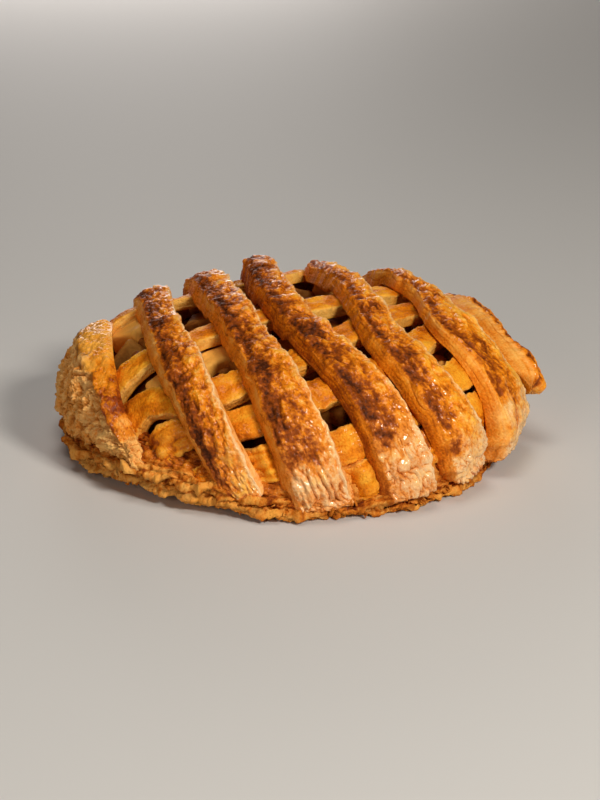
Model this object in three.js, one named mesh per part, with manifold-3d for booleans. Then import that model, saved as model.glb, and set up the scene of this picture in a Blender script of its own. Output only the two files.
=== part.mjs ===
// Round apple pie baked without a tin, under two layers of crossing pastry strips.
// Millimetres, +Z up, the front faces -Y, and the flat underside rests on z = 0.
import * as THREE from 'three';
import { mergeVertices } from 'three/addons/utils/BufferGeometryUtils.js';
import Module from 'manifold-3d';

const { degToRad, smoothstep, lerp } = THREE.MathUtils;

// Dome of the baked pie, measured over the upper strips
const TOP_HEIGHT = 48;
const CROWN_RADIUS = 190;
const CROWN_ANGLE = degToRad(15.5);
const SHOULDER_RADIUS = 30;
const WALL_ANGLE = degToRad(85);

// Thickness of the strips and the clearance between neighbouring pieces
const LOWER_THICKNESS = 4.2;
const UPPER_THICKNESS = 4.2;
const CLEARANCE = 0.3;
const STACK = LOWER_THICKNESS + CLEARANCE + UPPER_THICKNESS;

// Base crust: a flat round with a torn rim and a low wall that holds the filling
const RIM_RADIUS = 72;
const CONTACT_RADIUS = 57;
const FLANGE_TOP = 3.6;
const FLOOR_TOP = 3.4;
const DISH_ARC = 76;
const DISH_WALL = 3.6;
const DISH_DRAFT = 0.6;
const RIM_SEGMENTS = 80;
const TEAR_REACH = 5;
const LAYER_SHIFT = 1.7;
// Rim outline: distance out from the rim radius, share of the flange's height
const RIM_OUTLINE = [
  [-8, 0.02], [-4, 0.08], [-0.6, 0.18], [0.3, 0.36], [-0.8, 0.5], [0.2, 0.66], [-0.7, 0.9], [-2.4, 1],
];
const RIM_TEARS = [
  { count: 3, size: 0.7, phase: 0.4 },
  { count: 7, size: 0.6, phase: 1.9 },
  { count: 13, size: 0.6, phase: 4.1 },
  { count: 29, size: 0.5, phase: 2.2 },
];
const RIM_NARROW = { size: 3.2, at: -35, spread: 34 };

// Filling: a mound of cooked apple with the showing pieces of apple on it
const MOUND_DEPTH = 4.8;
const MOUND_ARC = 72;
const MOUND_SEGMENTS = 26;
const MOUND_STEPS = 7;
const ROOM_STEPS = 8;
const APPLE_COUNT = 32;
const APPLE_SPREAD = 11.2;
const APPLE_SIDE = 12.5;
const APPLE_DEPTH = 8;
const APPLE_SLANT = 0.25;
const APPLE_SINK = 2.6;
const APPLE_UNEVEN = 0.2;
// Larger slices that show at the left: place on the unrolled bed, sides, turn, depth below the bed
const SLICES = [
  { at: [-40, -37], sides: [12, 10, 7], turn: 0.5, sink: 0.9 },
  { at: [-25, -28], sides: [24, 9, 6], turn: 0.55, sink: 0.9 },
];

// Strips: section outlines as fractions of half width and thickness, and stations along the route.
// An upper strip's left flank slants out to its foot.
const LOWER_SECTION = [
  [-0.93, 0], [0, 0], [0.93, 0], [1, 0.42], [0.88, 0.84],
  [0.48, 0.99], [0, 1.02], [-0.48, 0.99], [-0.88, 0.84], [-1, 0.42],
];
const UPPER_SECTION = [
  [-1.2, 0], [-0.6, 0], [0, 0], [0.5, 0], [0.97, 0], [1, 0.4], [0.86, 0.8],
  [0.45, 0.99], [0.02, 1.04], [-0.42, 0.99], [-0.86, 0.8], [-1.12, 0.4],
];
const LOWER_STATIONS = 26;
const UPPER_STATIONS = 28;
const FINE_STATIONS = 100;
const WIDTH_WAVE = 0.05;
const LOWER_FULLNESS = 0.9;
const LOWER_WAVE = 0.06;
const UPPER_WAVE = 0.35;
const UPPER_SAG = 2;
const TOP_SAG = 1;
const CLEAR_FROM = 2.5;
const CLEAR_TO = 6.5;

// Strip ends on the wall: upper ones are pressed thinner down to the bed, lower ones swell between
const ENDS_FROM = 67;
const ENDS_TO = 80;
const PRESS_DROP = 2.6;
const END_SWELL = 1.9;
const END_TAPER = 2.2;
const TAPER_FROM = 74;
const TAPER_TO = 84;
const END_SPREAD = 0.12;

// Sideways outline of the left strip, which hangs down the wall to the rim:
// fraction from its inner edge to the rim, height over the bed
const SIDE_TOP = [
  [0, 6.2], [0.05, 8.3], [0.16, 9.4], [0.3, 9.9], [0.45, 10.6], [0.6, 10.4],
  [0.74, 9.2], [0.87, 7.6], [0.95, 6.4], [1, 5.2],
];
const SIDE_UNDER = [
  [1, 4.8], [0.85, 4.7], [0.7, 4.7], [0.56, 4.7], [0.42, 4.7], [0.28, 4.6], [0.14, 4.6], [0, 4.8],
];
const SIDE_SHORT = { size: 4.5, from: 0.4, to: 0.75 };
const SIDE_WAVE = 0.05;
const SIDE_FLAKES = { size: 0.7, along: 10, across: 2.5, from: 0.35 };

// Unrolled bed: routes run over the dome laid flat, as distance along the dome from its top.
// Lower strips run from the front left to the back right.
const LOWER_ROUTES = [
  { points: [[-78, 32], [-50, 44], [-20, 61], [-5, 84]], width: [9, 9.6, 9] },
  { points: [[-85, -3], [-53, 17], [-15, 39], [25, 81]], width: [9, 9.8, 9] },
  { points: [[-75, -42], [-36, -24], [7, -1], [34, 30], [56, 64]], width: [9, 10, 9] },
  { points: [[-65.5, -53.5], [-47, -47], [-23, -53], [5, -36], [34, 3], [73, 43]], width: [9, 10, 9] },
  { points: [[-54, -65], [-36, -62], [-11, -62], [23, -43], [47, -7], [81, 24]], width: [8.5, 9.6, 9] },
  { points: [[-33, -78], [-8, -74], [20, -65], [45.2, -37.5], [64, -8], [85, 5]], width: [8, 8.6, 9] },
  { points: [[8, -86], [38, -63], [57, -39], [83.5, -14.5]], width: [8, 8.4, 9] },
];

// Upper strips run from the back left to the front right. The first one closes the left side.
const SIDE_ROUTE = { points: [[-71, 46], [-60, 17], [-57, -14], [-54, -40], [-53, -65]], inner: 3 };
const UPPER_ROUTES = [
  { points: [[-48, 67], [-42, 9], [-35, -31], [-16, -83]], width: [9, 9.6, 11.5], puff: 0.4 },
  { points: [[-33, 75], [-23, 9], [-10, -41], [11, -85]], width: [10, 11, 15], puff: 0.6 },
  { points: [[-14, 83], [-7, 5], [11, -42], [39, -75]], width: [9.5, 9.4, 13], puff: 2.4 },
  { points: [[2, 84], [20, -3], [33, -43], [61, -58]], width: [9, 9.4, 14], puff: 0.6 },
  { points: [[16, 83], [37, 22], [52.3, -17.5], [79.5, -32.5]], width: [9, 10, 22], puff: 1 },
  { points: [[40, 74], [53, 36], [63, 10], [72.8, -9.5]], width: [9, 9, 6.2], puff: 2, puffAt: 0.4, tab: 6 },
];
const TAB_START = 0.78;
const TAB_FREE = 0.9;
const TAB_FOOT = 4.5;
const PUFF_AT = 0.3;
const PUFF_SPREAD = 0.18;

// Uneven settling of the whole pie: swollen and drawn in round the rim, sunk at the back left,
// and curled up along the front left edge. Places are degrees round the pie.
const SWELLS = [
  { size: 0.05, at: -58, spread: 22 },
  { size: 0.04, at: -92, spread: 18 },
  { size: -0.035, at: -16, spread: 18 },
];
const SWELL_FROM = 20;
const SINK = { size: 0.06, at: 152, spread: 38, from: 10, to: 60 };
const CURL = { size: 2.8, at: -122, spread: 24, from: 58, to: 74 };

// Surfaces of the bed, which the lower strips lie on
const BED_HEIGHT = TOP_HEIGHT - STACK;
const BED_CROWN = CROWN_RADIUS - STACK;
const BED_SHOULDER = SHOULDER_RADIUS - STACK;
const CROWN_ARC = BED_CROWN * CROWN_ANGLE;
const SHOULDER_ARC = CROWN_ARC + BED_SHOULDER * (WALL_ANGLE - CROWN_ANGLE);
const CROWN_EDGE = BED_CROWN * Math.sin(CROWN_ANGLE);
const CROWN_EDGE_Z = BED_HEIGHT - BED_CROWN * (1 - Math.cos(CROWN_ANGLE));
const WALL_EDGE = CROWN_EDGE + BED_SHOULDER * (Math.sin(WALL_ANGLE) - Math.sin(CROWN_ANGLE));
const WALL_EDGE_Z = CROWN_EDGE_Z - BED_SHOULDER * (Math.cos(CROWN_ANGLE) - Math.cos(WALL_ANGLE));
const END_ARC = SHOULDER_ARC + (WALL_EDGE_Z - FLANGE_TOP - CLEARANCE) / Math.sin(WALL_ANGLE);
const END_EASE = 3;

const wasm = await Module();
wasm.setup();

// Point on the dome's outline at a distance from its top, moved out along the outline's normal.
function outline(arc, out) {
  let tilt = WALL_ANGLE;
  let radius = WALL_EDGE + (arc - SHOULDER_ARC) * Math.cos(WALL_ANGLE);
  let height = WALL_EDGE_Z - (arc - SHOULDER_ARC) * Math.sin(WALL_ANGLE);
  if (arc < CROWN_ARC) {
    tilt = arc / BED_CROWN;
    radius = BED_CROWN * Math.sin(tilt);
    height = BED_HEIGHT - BED_CROWN * (1 - Math.cos(tilt));
  } else if (arc < SHOULDER_ARC) {
    tilt = CROWN_ANGLE + (arc - CROWN_ARC) / BED_SHOULDER;
    radius = CROWN_EDGE + BED_SHOULDER * (Math.sin(tilt) - Math.sin(CROWN_ANGLE));
    height = CROWN_EDGE_Z - BED_SHOULDER * (Math.cos(CROWN_ANGLE) - Math.cos(tilt));
  }
  return new THREE.Vector2(radius + out * Math.sin(tilt), height + out * Math.cos(tilt));
}

// Distances along the dome are eased so that no strip runs past the rim.
function easedArc(arc) {
  const start = END_ARC - END_EASE;
  return arc < start ? arc : END_ARC - END_EASE * Math.exp((start - arc) / END_EASE);
}

// Bell-shaped share of a direction, given in degrees round the pie.
function bell(angle, { at, spread }) {
  const turn = THREE.MathUtils.euclideanModulo(THREE.MathUtils.radToDeg(angle) - at + 180, 360) - 180;
  return Math.exp(-((turn / spread) ** 2));
}

// The even dome settled into the pie's own uneven form.
function settle(point) {
  const radius = Math.hypot(point.x, point.y);
  const angle = Math.atan2(point.y, point.x);
  const swell = SWELLS.reduce((sum, place) => sum + place.size * bell(angle, place), 0);
  const grow = 1 + swell * smoothstep(radius, SWELL_FROM, RIM_RADIUS);
  const drop = 1 - SINK.size * bell(angle, SINK) * smoothstep(radius, SINK.from, SINK.to);
  const curl = CURL.size * bell(angle, CURL) * smoothstep(radius, CURL.from, CURL.to);
  return point.set(point.x * grow, point.y * grow, point.z * drop + curl);
}

// Point of the unrolled bed put on the dome, at a height over the bed.
function onDome(flat, out) {
  const angle = Math.atan2(flat.y, flat.x);
  const { x: radius, y: height } = outline(easedArc(flat.length()), out);
  return new THREE.Vector3(radius * Math.cos(angle), radius * Math.sin(angle), height);
}

// Slow wave along a strip, different for each strip.
function wobble(along, strip) {
  const turn = 2 * Math.PI * along;
  return 0.5 * Math.sin(1.3 * turn + 2.4 * strip)
    + 0.3 * Math.sin(2.9 * turn + 4.1 * strip + 1)
    + 0.2 * Math.sin(5.7 * turn + 1.3 * strip + 2);
}

// Value taken from three widths: at the start, the middle and the end.
function widthAt(width, along) {
  const half = along * 2;
  return half < 1
    ? lerp(width[0], width[1], smoothstep(half, 0, 1))
    : lerp(width[1], width[2], smoothstep(half - 1, 0, 1));
}

// Route laid out as evenly spaced stations, each with its place and its true sideways direction.
function stationsOf(points, count) {
  const curve = new THREE.SplineCurve(points.map(([x, y]) => new THREE.Vector2(x, y)));
  curve.arcLengthDivisions = 400;
  return Array.from({ length: count + 1 }, (_, index) => {
    const along = index / count;
    const place = curve.getPointAt(along);
    const travel = curve.getTangentAt(along);
    const arc = Math.max(place.length(), 1);
    const radial = place.clone().divideScalar(arc);
    const round = new THREE.Vector2(-radial.y, radial.x);
    const shrink = outline(easedArc(arc), 0).x / arc;
    const ahead = new THREE.Vector2(travel.dot(radial), travel.dot(round) * shrink).normalize();
    const aside = radial.clone().multiplyScalar(-ahead.y);
    aside.addScaledVector(round, ahead.x / shrink);
    return { along, place, aside };
  });
}

// Closed skin over rings of points, with a fan over each end.
function skin(rings) {
  const count = rings[0].length;
  const middle = (ring) => ring.reduce((sum, p) => sum.add(p), new THREE.Vector3()).divideScalar(count);
  const points = [...rings.flat(), middle(rings[0]), middle(rings.at(-1))];
  const first = points.length - 2;
  const last = points.length - 1;
  const top = (rings.length - 1) * count;
  const faces = [];
  for (let side = 0; side < count; side += 1) {
    const next = (side + 1) % count;
    faces.push(first, next, side, last, top + side, top + next);
    for (let ring = 0; ring < rings.length - 1; ring += 1) {
      const here = ring * count;
      const beyond = here + count;
      faces.push(here + side, here + next, beyond + side);
      faces.push(here + next, beyond + next, beyond + side);
    }
  }
  const geometry = new THREE.BufferGeometry().setFromPoints(points);
  geometry.setIndex(faces);
  return geometry;
}

// Applies the settling to every point of a shape.
function settled(geometry) {
  const position = geometry.getAttribute('position');
  const point = new THREE.Vector3();
  for (let index = 0; index < position.count; index += 1) {
    settle(point.fromBufferAttribute(position, index));
    position.setXYZ(index, point.x, point.y, point.z);
  }
  geometry.computeVertexNormals();
  return geometry;
}

// Shape welded to shared points, without flat leftovers.
function welded(source) {
  const bare = source.clone();
  bare.deleteAttribute('normal');
  bare.deleteAttribute('uv');
  const geometry = mergeVertices(bare, 1e-4);
  const index = Array.from(geometry.getIndex().array);
  const kept = [];
  for (let face = 0; face < index.length; face += 3) {
    const [a, b, c] = index.slice(face, face + 3);
    if (a !== b && b !== c && c !== a) kept.push(a, b, c);
  }
  geometry.setIndex(kept);
  return geometry;
}

// Solid of revolution about +Z, from an outline that starts and ends on the axis.
function turned(profile, segments) {
  return welded(new THREE.LatheGeometry(profile, segments).rotateX(Math.PI / 2));
}

function solidOf(geometry) {
  return new wasm.Manifold(new wasm.Mesh({
    numProp: 3,
    vertProperties: Float32Array.from(geometry.getAttribute('position').array),
    triVerts: Uint32Array.from(geometry.getIndex().array),
  }));
}

function geometryOf(solid) {
  const mesh = solid.getMesh();
  const geometry = new THREE.BufferGeometry();
  geometry.setAttribute('position', new THREE.BufferAttribute(mesh.vertProperties, mesh.numProp));
  geometry.setIndex(new THREE.BufferAttribute(mesh.triVerts, 1));
  return geometry;
}

// Points along the dome's outline between two distances, at a height over the bed.
function domeProfile(from, to, steps, out) {
  return Array.from({ length: steps + 1 }, (_, step) => outline(lerp(from, to, step / steps), out));
}

// Base crust: the round, its torn rim of two pastry layers, and the low wall round the filling.
function baseCrust() {
  const wall = domeProfile(END_ARC, DISH_ARC, 2, -CLEARANCE);
  const inner = outline(DISH_ARC, -CLEARANCE - DISH_WALL);
  const profile = [
    new THREE.Vector2(0, 0),
    new THREE.Vector2(CONTACT_RADIUS, 0),
    ...RIM_OUTLINE.map(([out, rise]) => new THREE.Vector2(RIM_RADIUS + out, rise * FLANGE_TOP)),
    new THREE.Vector2(wall[0].x, FLANGE_TOP),
    ...wall,
    inner,
    new THREE.Vector2(inner.x - DISH_DRAFT, FLOOR_TOP),
    new THREE.Vector2(0, FLOOR_TOP),
  ];
  const geometry = turned(profile, RIM_SEGMENTS);
  const position = geometry.getAttribute('position');
  const point = new THREE.Vector3();
  for (let index = 0; index < position.count; index += 1) {
    point.fromBufferAttribute(position, index);
    const angle = Math.atan2(point.y, point.x);
    const share = smoothstep(Math.hypot(point.x, point.y), RIM_RADIUS - TEAR_REACH, RIM_RADIUS);
    const layer = point.z > FLANGE_TOP / 2 ? LAYER_SHIFT : 0;
    const tear = RIM_TEARS.reduce(
      (sum, { count, size, phase }) => sum + size * Math.sin(count * angle + phase + layer), 0);
    const narrow = RIM_NARROW.size * bell(angle, RIM_NARROW);
    const grow = 1 + (share * (tear - narrow)) / RIM_RADIUS;
    position.setXY(index, point.x * grow, point.y * grow);
  }
  return settled(geometry);
}

// One piece of apple: a diced block with uneven sides, lying at its own slant on the mound.
function applePiece(number) {
  const wave = (step) => Math.sin(number * step);
  const sized = (length, step) => length * (1 + APPLE_UNEVEN * wave(step));
  const thick = sized(APPLE_DEPTH, 5.3);
  const block = new THREE.BoxGeometry(sized(APPLE_SIDE, 2.1), sized(APPLE_SIDE, 3.7), thick);
  block.rotateZ(number * 1.9);
  block.rotateX(APPLE_SLANT * wave(1.3));
  block.rotateY(APPLE_SLANT * wave(2.7));
  const angle = number * Math.PI * (3 - Math.sqrt(5));
  const flat = new THREE.Vector2(Math.cos(angle), Math.sin(angle)).multiplyScalar(
    APPLE_SPREAD * Math.sqrt(number + 0.5));
  return laidOn(block, flat, -thick / 2 - sized(APPLE_SINK, 4.3));
}

// One of the larger slices: a flat block turned to lie along the strips.
function appleSlice({ at, sides, turn, sink }) {
  const block = new THREE.BoxGeometry(...sides).rotateZ(turn);
  return laidOn(block, new THREE.Vector2(...at), -sides[2] / 2 - sink);
}

// A block set upright on the dome, with its middle at a depth under a place of the bed.
function laidOn(block, flat, depth) {
  const foot = onDome(flat, depth);
  const up = onDome(flat, depth + 1).sub(foot).normalize();
  block.applyQuaternion(new THREE.Quaternion().setFromUnitVectors(new THREE.Vector3(0, 0, 1), up));
  block.translate(foot.x, foot.y, foot.z);
  return welded(block);
}

// Filling: the mound joined with its pieces of apple, kept clear of the crust and the strips.
function appleFilling() {
  const seat = FLOOR_TOP + CLEARANCE;
  const inside = outline(DISH_ARC, -2 * CLEARANCE - DISH_WALL);
  const corner = new THREE.Vector2(inside.x - DISH_DRAFT, seat);
  const start = new THREE.Vector2(0, seat);
  const mound = domeProfile(MOUND_ARC, 0, MOUND_STEPS, -MOUND_DEPTH);
  const cover = domeProfile(MOUND_ARC, 0, ROOM_STEPS, -2 * CLEARANCE);
  const core = turned([start, corner, ...mound], MOUND_SEGMENTS);
  const room = turned([start, corner, inside, ...cover], MOUND_SEGMENTS);
  let heap = solidOf(core);
  for (let number = 0; number < APPLE_COUNT; number += 1) {
    heap = heap.add(solidOf(applePiece(number)));
  }
  for (const slice of SLICES) {
    heap = heap.add(solidOf(appleSlice(slice)));
  }
  return settled(geometryOf(heap.intersect(solidOf(room))));
}

const lowerLines = LOWER_ROUTES.map(({ points, width }) => ({
  width,
  stations: stationsOf(points, FINE_STATIONS),
}));

// How far an upper strip sinks at a point of the bed: nothing over a lower strip, most between two.
function sagAt(flat) {
  let nearest = Infinity;
  for (const { width, stations } of lowerLines) {
    for (const { along, place } of stations) {
      nearest = Math.min(nearest, place.distanceTo(flat) - widthAt(width, along) / 2);
    }
  }
  return smoothstep(nearest, CLEAR_FROM, CLEAR_TO);
}

// Places that the upper strips cover, as points of the bed with their reach.
const covers = [];
for (const { points, width } of UPPER_ROUTES) {
  for (const { along, place } of stationsOf(points, FINE_STATIONS)) {
    covers.push({ place, reach: widthAt(width, along) / 2 });
  }
}
for (const { place } of stationsOf(SIDE_ROUTE.points, UPPER_STATIONS)) {
  for (let share = 0; share <= 1; share += 0.25) {
    const length = lerp(place.length(), END_ARC, share);
    covers.push({ place: place.clone().setLength(length), reach: SIDE_ROUTE.inner + 1 });
  }
}

// How free a point of the bed is of the upper strips: 0 under one, 1 well clear of all.
function freeAt(flat) {
  const nearest = covers.reduce((least, { place, reach }) => {
    return Math.min(least, place.distanceTo(flat) - reach);
  }, Infinity);
  return smoothstep(nearest, CLEAR_FROM, CLEAR_TO);
}

// Lower strip: the section carried along its route, lying on the bed. Its free ends are swollen.
function lowerStrip({ points, width }, strip) {
  const rings = stationsOf(points, LOWER_STATIONS).map(({ along, place, aside }) => {
    const ending = smoothstep(place.length(), ENDS_FROM, ENDS_TO);
    const spread = (1 + END_SPREAD * ending) * (1 + WIDTH_WAVE * wobble(along, strip));
    const half = 0.5 * widthAt(width, along) * spread;
    const thick = LOWER_THICKNESS * (LOWER_FULLNESS + LOWER_WAVE * wobble(1 - along, strip));
    const swell = END_SWELL * ending;
    return LOWER_SECTION.map(([side, rise]) => {
      const flat = place.clone().addScaledVector(aside, side * half);
      return onDome(flat, rise * (thick + swell * freeAt(flat)));
    });
  });
  return settled(skin(rings));
}

// Upper strip: rests on the lower ones, sags between them, and is pressed to the wall at its ends.
// A strip with a tab ends in a free tongue that stands off the wall instead.
function upperStrip({ points, width, puff, puffAt = PUFF_AT, tab = 0 }, strip) {
  const rings = stationsOf(points, UPPER_STATIONS).map(({ along, place, aside }) => {
    const half = 0.5 * widthAt(width, along) * (1 + WIDTH_WAVE * wobble(1 - along, strip));
    const pressed = tab ? 0 : PRESS_DROP * smoothstep(place.length(), ENDS_FROM, ENDS_TO);
    const taper = tab ? 0 : END_TAPER * smoothstep(place.length(), TAPER_FROM, TAPER_TO);
    const risen = puff * Math.exp(-(((along - puffAt) / PUFF_SPREAD) ** 2)) - taper;
    const top = STACK + risen - TOP_SAG * sagAt(place) + UPPER_WAVE * wobble(along, strip);
    const lift = tab * smoothstep(along, TAB_START, 1);
    const free = tab ? TAB_FOOT * smoothstep(along, TAB_FREE, 1) : 0;
    return UPPER_SECTION.map(([side, rise]) => {
      const flat = place.clone().addScaledVector(aside, side * half);
      const foot = LOWER_THICKNESS + CLEARANCE - (UPPER_SAG + pressed) * sagAt(flat);
      return onDome(flat, lerp(foot + free, top + lift, rise));
    });
  });
  return settled(skin(rings));
}

// Height of the flakes on the left strip's outer side.
function sideFlake(along, share) {
  const { size, along: waves, across, from } = SIDE_FLAKES;
  const ridge = Math.sin(2 * Math.PI * (waves * along + across * share));
  return size * ridge * smoothstep(share, from, 1) * (1 - smoothstep(share, 0.9, 1));
}

// Left strip: from its inner edge over the shoulder and down the flaky side to the rim.
function sideStrip({ points, inner }) {
  const rings = stationsOf(points, UPPER_STATIONS).map(({ along, place, aside }) => {
    const edge = place.clone().addScaledVector(aside, inner);
    const reach = END_ARC - SIDE_SHORT.size * smoothstep(along, SIDE_SHORT.from, SIDE_SHORT.to);
    const rim = place.clone().setLength(Math.max(reach, place.length() + inner));
    const swell = 1 + SIDE_WAVE * wobble(along, 6);
    const under = SIDE_UNDER.map(([share, out]) => onDome(edge.clone().lerp(rim, share), out));
    const top = SIDE_TOP.map(([share, out]) => {
      return onDome(edge.clone().lerp(rim, share), out * swell + sideFlake(along, share));
    });
    return [...under, ...top];
  });
  return settled(skin(rings));
}

function piece(name, geometry, color, roughness) {
  const material = new THREE.MeshStandardMaterial({ color, roughness, metalness: 0 });
  const mesh = new THREE.Mesh(geometry, material);
  mesh.name = name;
  return mesh;
}

const pie = new THREE.Group();
pie.add(piece('base_crust', baseCrust(), 0xc08a4e, 0.75));
pie.add(piece('apple_filling', appleFilling(), 0x9a5a1c, 0.4));
LOWER_ROUTES.forEach((route, index) => {
  pie.add(piece(`lower_strip_${index + 1}`, lowerStrip(route, index), 0xd9a13f, 0.5));
});
pie.add(piece('upper_strip_1', sideStrip(SIDE_ROUTE), 0xb9803f, 0.65));
UPPER_ROUTES.forEach((route, index) => {
  pie.add(piece(`upper_strip_${index + 2}`, upperStrip(route, index), 0xb0692a, 0.4));
});

// The pie stands with its box centred over the origin.
const box = new THREE.Box3().setFromObject(pie);
const centre = box.getCenter(new THREE.Vector3());
pie.position.set(-centre.x, -centre.y, 0);

export default pie;
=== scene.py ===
"""Looks of a round apple pie: puff pastry base, apple filling and two layers of lattice strips.

Sizes inside the classes are millimetres in the pie's own frame, +Z up with the front at -Y. Meshes
are written in metres. Every pastry surface is a grid of points worked out with numpy: a section
carried along a route over the dome, raised along its normals by baked relief, with the amount of
browning, pale pastry, gloss, and painted shade with scorch kept as attributes that the finishes
read. Browning and pale pastry also carry painted shade in creases, grooves and gaps, and painted
highlights and sheen on the edges and tops that face the lights.
"""
import logging
import math
from dataclasses import dataclass, field
from enum import Enum

import bpy
import numpy as np
from bpy.types import Material, Node, NodeSocket, NodeTree, Object
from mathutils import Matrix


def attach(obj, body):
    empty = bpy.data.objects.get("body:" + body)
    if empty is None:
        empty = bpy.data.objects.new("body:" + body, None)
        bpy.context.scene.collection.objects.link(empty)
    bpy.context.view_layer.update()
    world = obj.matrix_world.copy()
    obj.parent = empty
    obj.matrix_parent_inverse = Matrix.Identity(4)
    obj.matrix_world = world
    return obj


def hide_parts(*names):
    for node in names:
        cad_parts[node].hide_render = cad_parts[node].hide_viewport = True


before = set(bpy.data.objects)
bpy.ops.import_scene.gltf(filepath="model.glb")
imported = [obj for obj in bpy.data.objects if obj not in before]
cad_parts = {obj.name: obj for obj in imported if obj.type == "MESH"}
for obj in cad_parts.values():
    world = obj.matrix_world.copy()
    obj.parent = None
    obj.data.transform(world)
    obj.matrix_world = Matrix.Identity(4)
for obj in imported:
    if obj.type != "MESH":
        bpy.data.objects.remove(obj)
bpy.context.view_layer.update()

BODY = "root"
MM = 0.001
TINY = 1e-9
NEAR_AXIS = 1.0
CURVE_STEPS = 2001
LAYER_APART = 3.7
SCREEN_KNEE = 0.04045
SCREEN_SLOPE = 12.92
SCREEN_LIFT = 0.055
SCREEN_POWER = 2.4
WOBBLE = ((0.5, 1.3, 2.4, 0.0), (0.3, 2.9, 4.1, 1.0), (0.2, 5.7, 1.3, 2.0))
LOG = logging.getLogger("apple_pie")

Array = np.ndarray
Span = tuple[float, float]
Triple = tuple[float, float, float]
Quad = tuple[float, float, float, float]


class Slot(Enum):
    """Material slots of the record."""

    BASE = "base_pastry"
    FILLING = "apple_filling"
    LOWER = "lower_pastry"
    UPPER = "upper_pastry"


def smooth(value: Array | float, low: float, high: float) -> Array:
    """Smooth step: 0 below low, 1 above high, with an even S-curve between."""
    share = np.clip((np.asarray(value, float) - low) / (high - low), 0.0, 1.0)
    return share * share * (3.0 - 2.0 * share)


def bell(value: Array, middle: float, spread: float) -> Array:
    """Bell curve of height 1 at the middle."""
    return np.exp(-(((value - middle) / spread) ** 2))


def lerp(start: Array | float, end: Array | float, share: Array | float) -> Array:
    """Straight blend from start to end."""
    return start + (end - start) * share


def spline(points: Array, steps: int) -> Array:
    """Smooth curve through points: a cubic between each pair, with slopes from their neighbours.

    Args:
        points: corner points, one row each.
        steps: number of points of the curve.

    Returns:
        The curve's points, evenly spread between the corners.
    """
    corners = np.asarray(points, float)
    last = len(corners) - 1
    turn = np.linspace(0.0, last, steps)
    index = np.minimum(turn.astype(int), last - 1)
    part = (turn - index)[:, None]
    start, end = corners[index], corners[index + 1]
    leave = 0.5 * (end - corners[np.maximum(index - 1, 0)])
    arrive = 0.5 * (corners[np.minimum(index + 2, last)] - start)
    cubic = (2 * start - 2 * end + leave + arrive) * part**3
    square = (3 * end - 3 * start - 2 * leave - arrive) * part**2
    return cubic + square + leave * part + start


def points_of(x: Array | float, y: Array | float, z: Array | float) -> Array:
    """Points from their three coordinates, each a number, a row, a column or a whole grid."""
    return np.stack(np.broadcast_arrays(x, y, z), axis=-1)


def run_of(line: Array) -> Array:
    """Distance of each point of a line from its start, along the line."""
    return np.concatenate([[0.0], np.cumsum(np.hypot(*np.diff(line, axis=0).T))])


@dataclass(frozen=True)
class Ripple:
    """One noise of a surface: its size in millimetres, its octaves and the shift that sets it apart."""

    size: float | Triple
    octaves: int = 1
    shift: float = 0.0


class Mix:
    """Weighted sum of named parts, for all that adds up to a relief or to a shade of baking."""

    def __init__(self, even: float = 0.0, **weights: float) -> None:
        """Keeps the amount that is even all over and the weight of each part."""
        self.even = even
        self.weights = weights

    def of(self, **parts: Array | float) -> Array:
        """Even amount, plus each part times the weight of its name."""
        return self.even + sum(self.weights[name] * part for name, part in parts.items())


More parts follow.
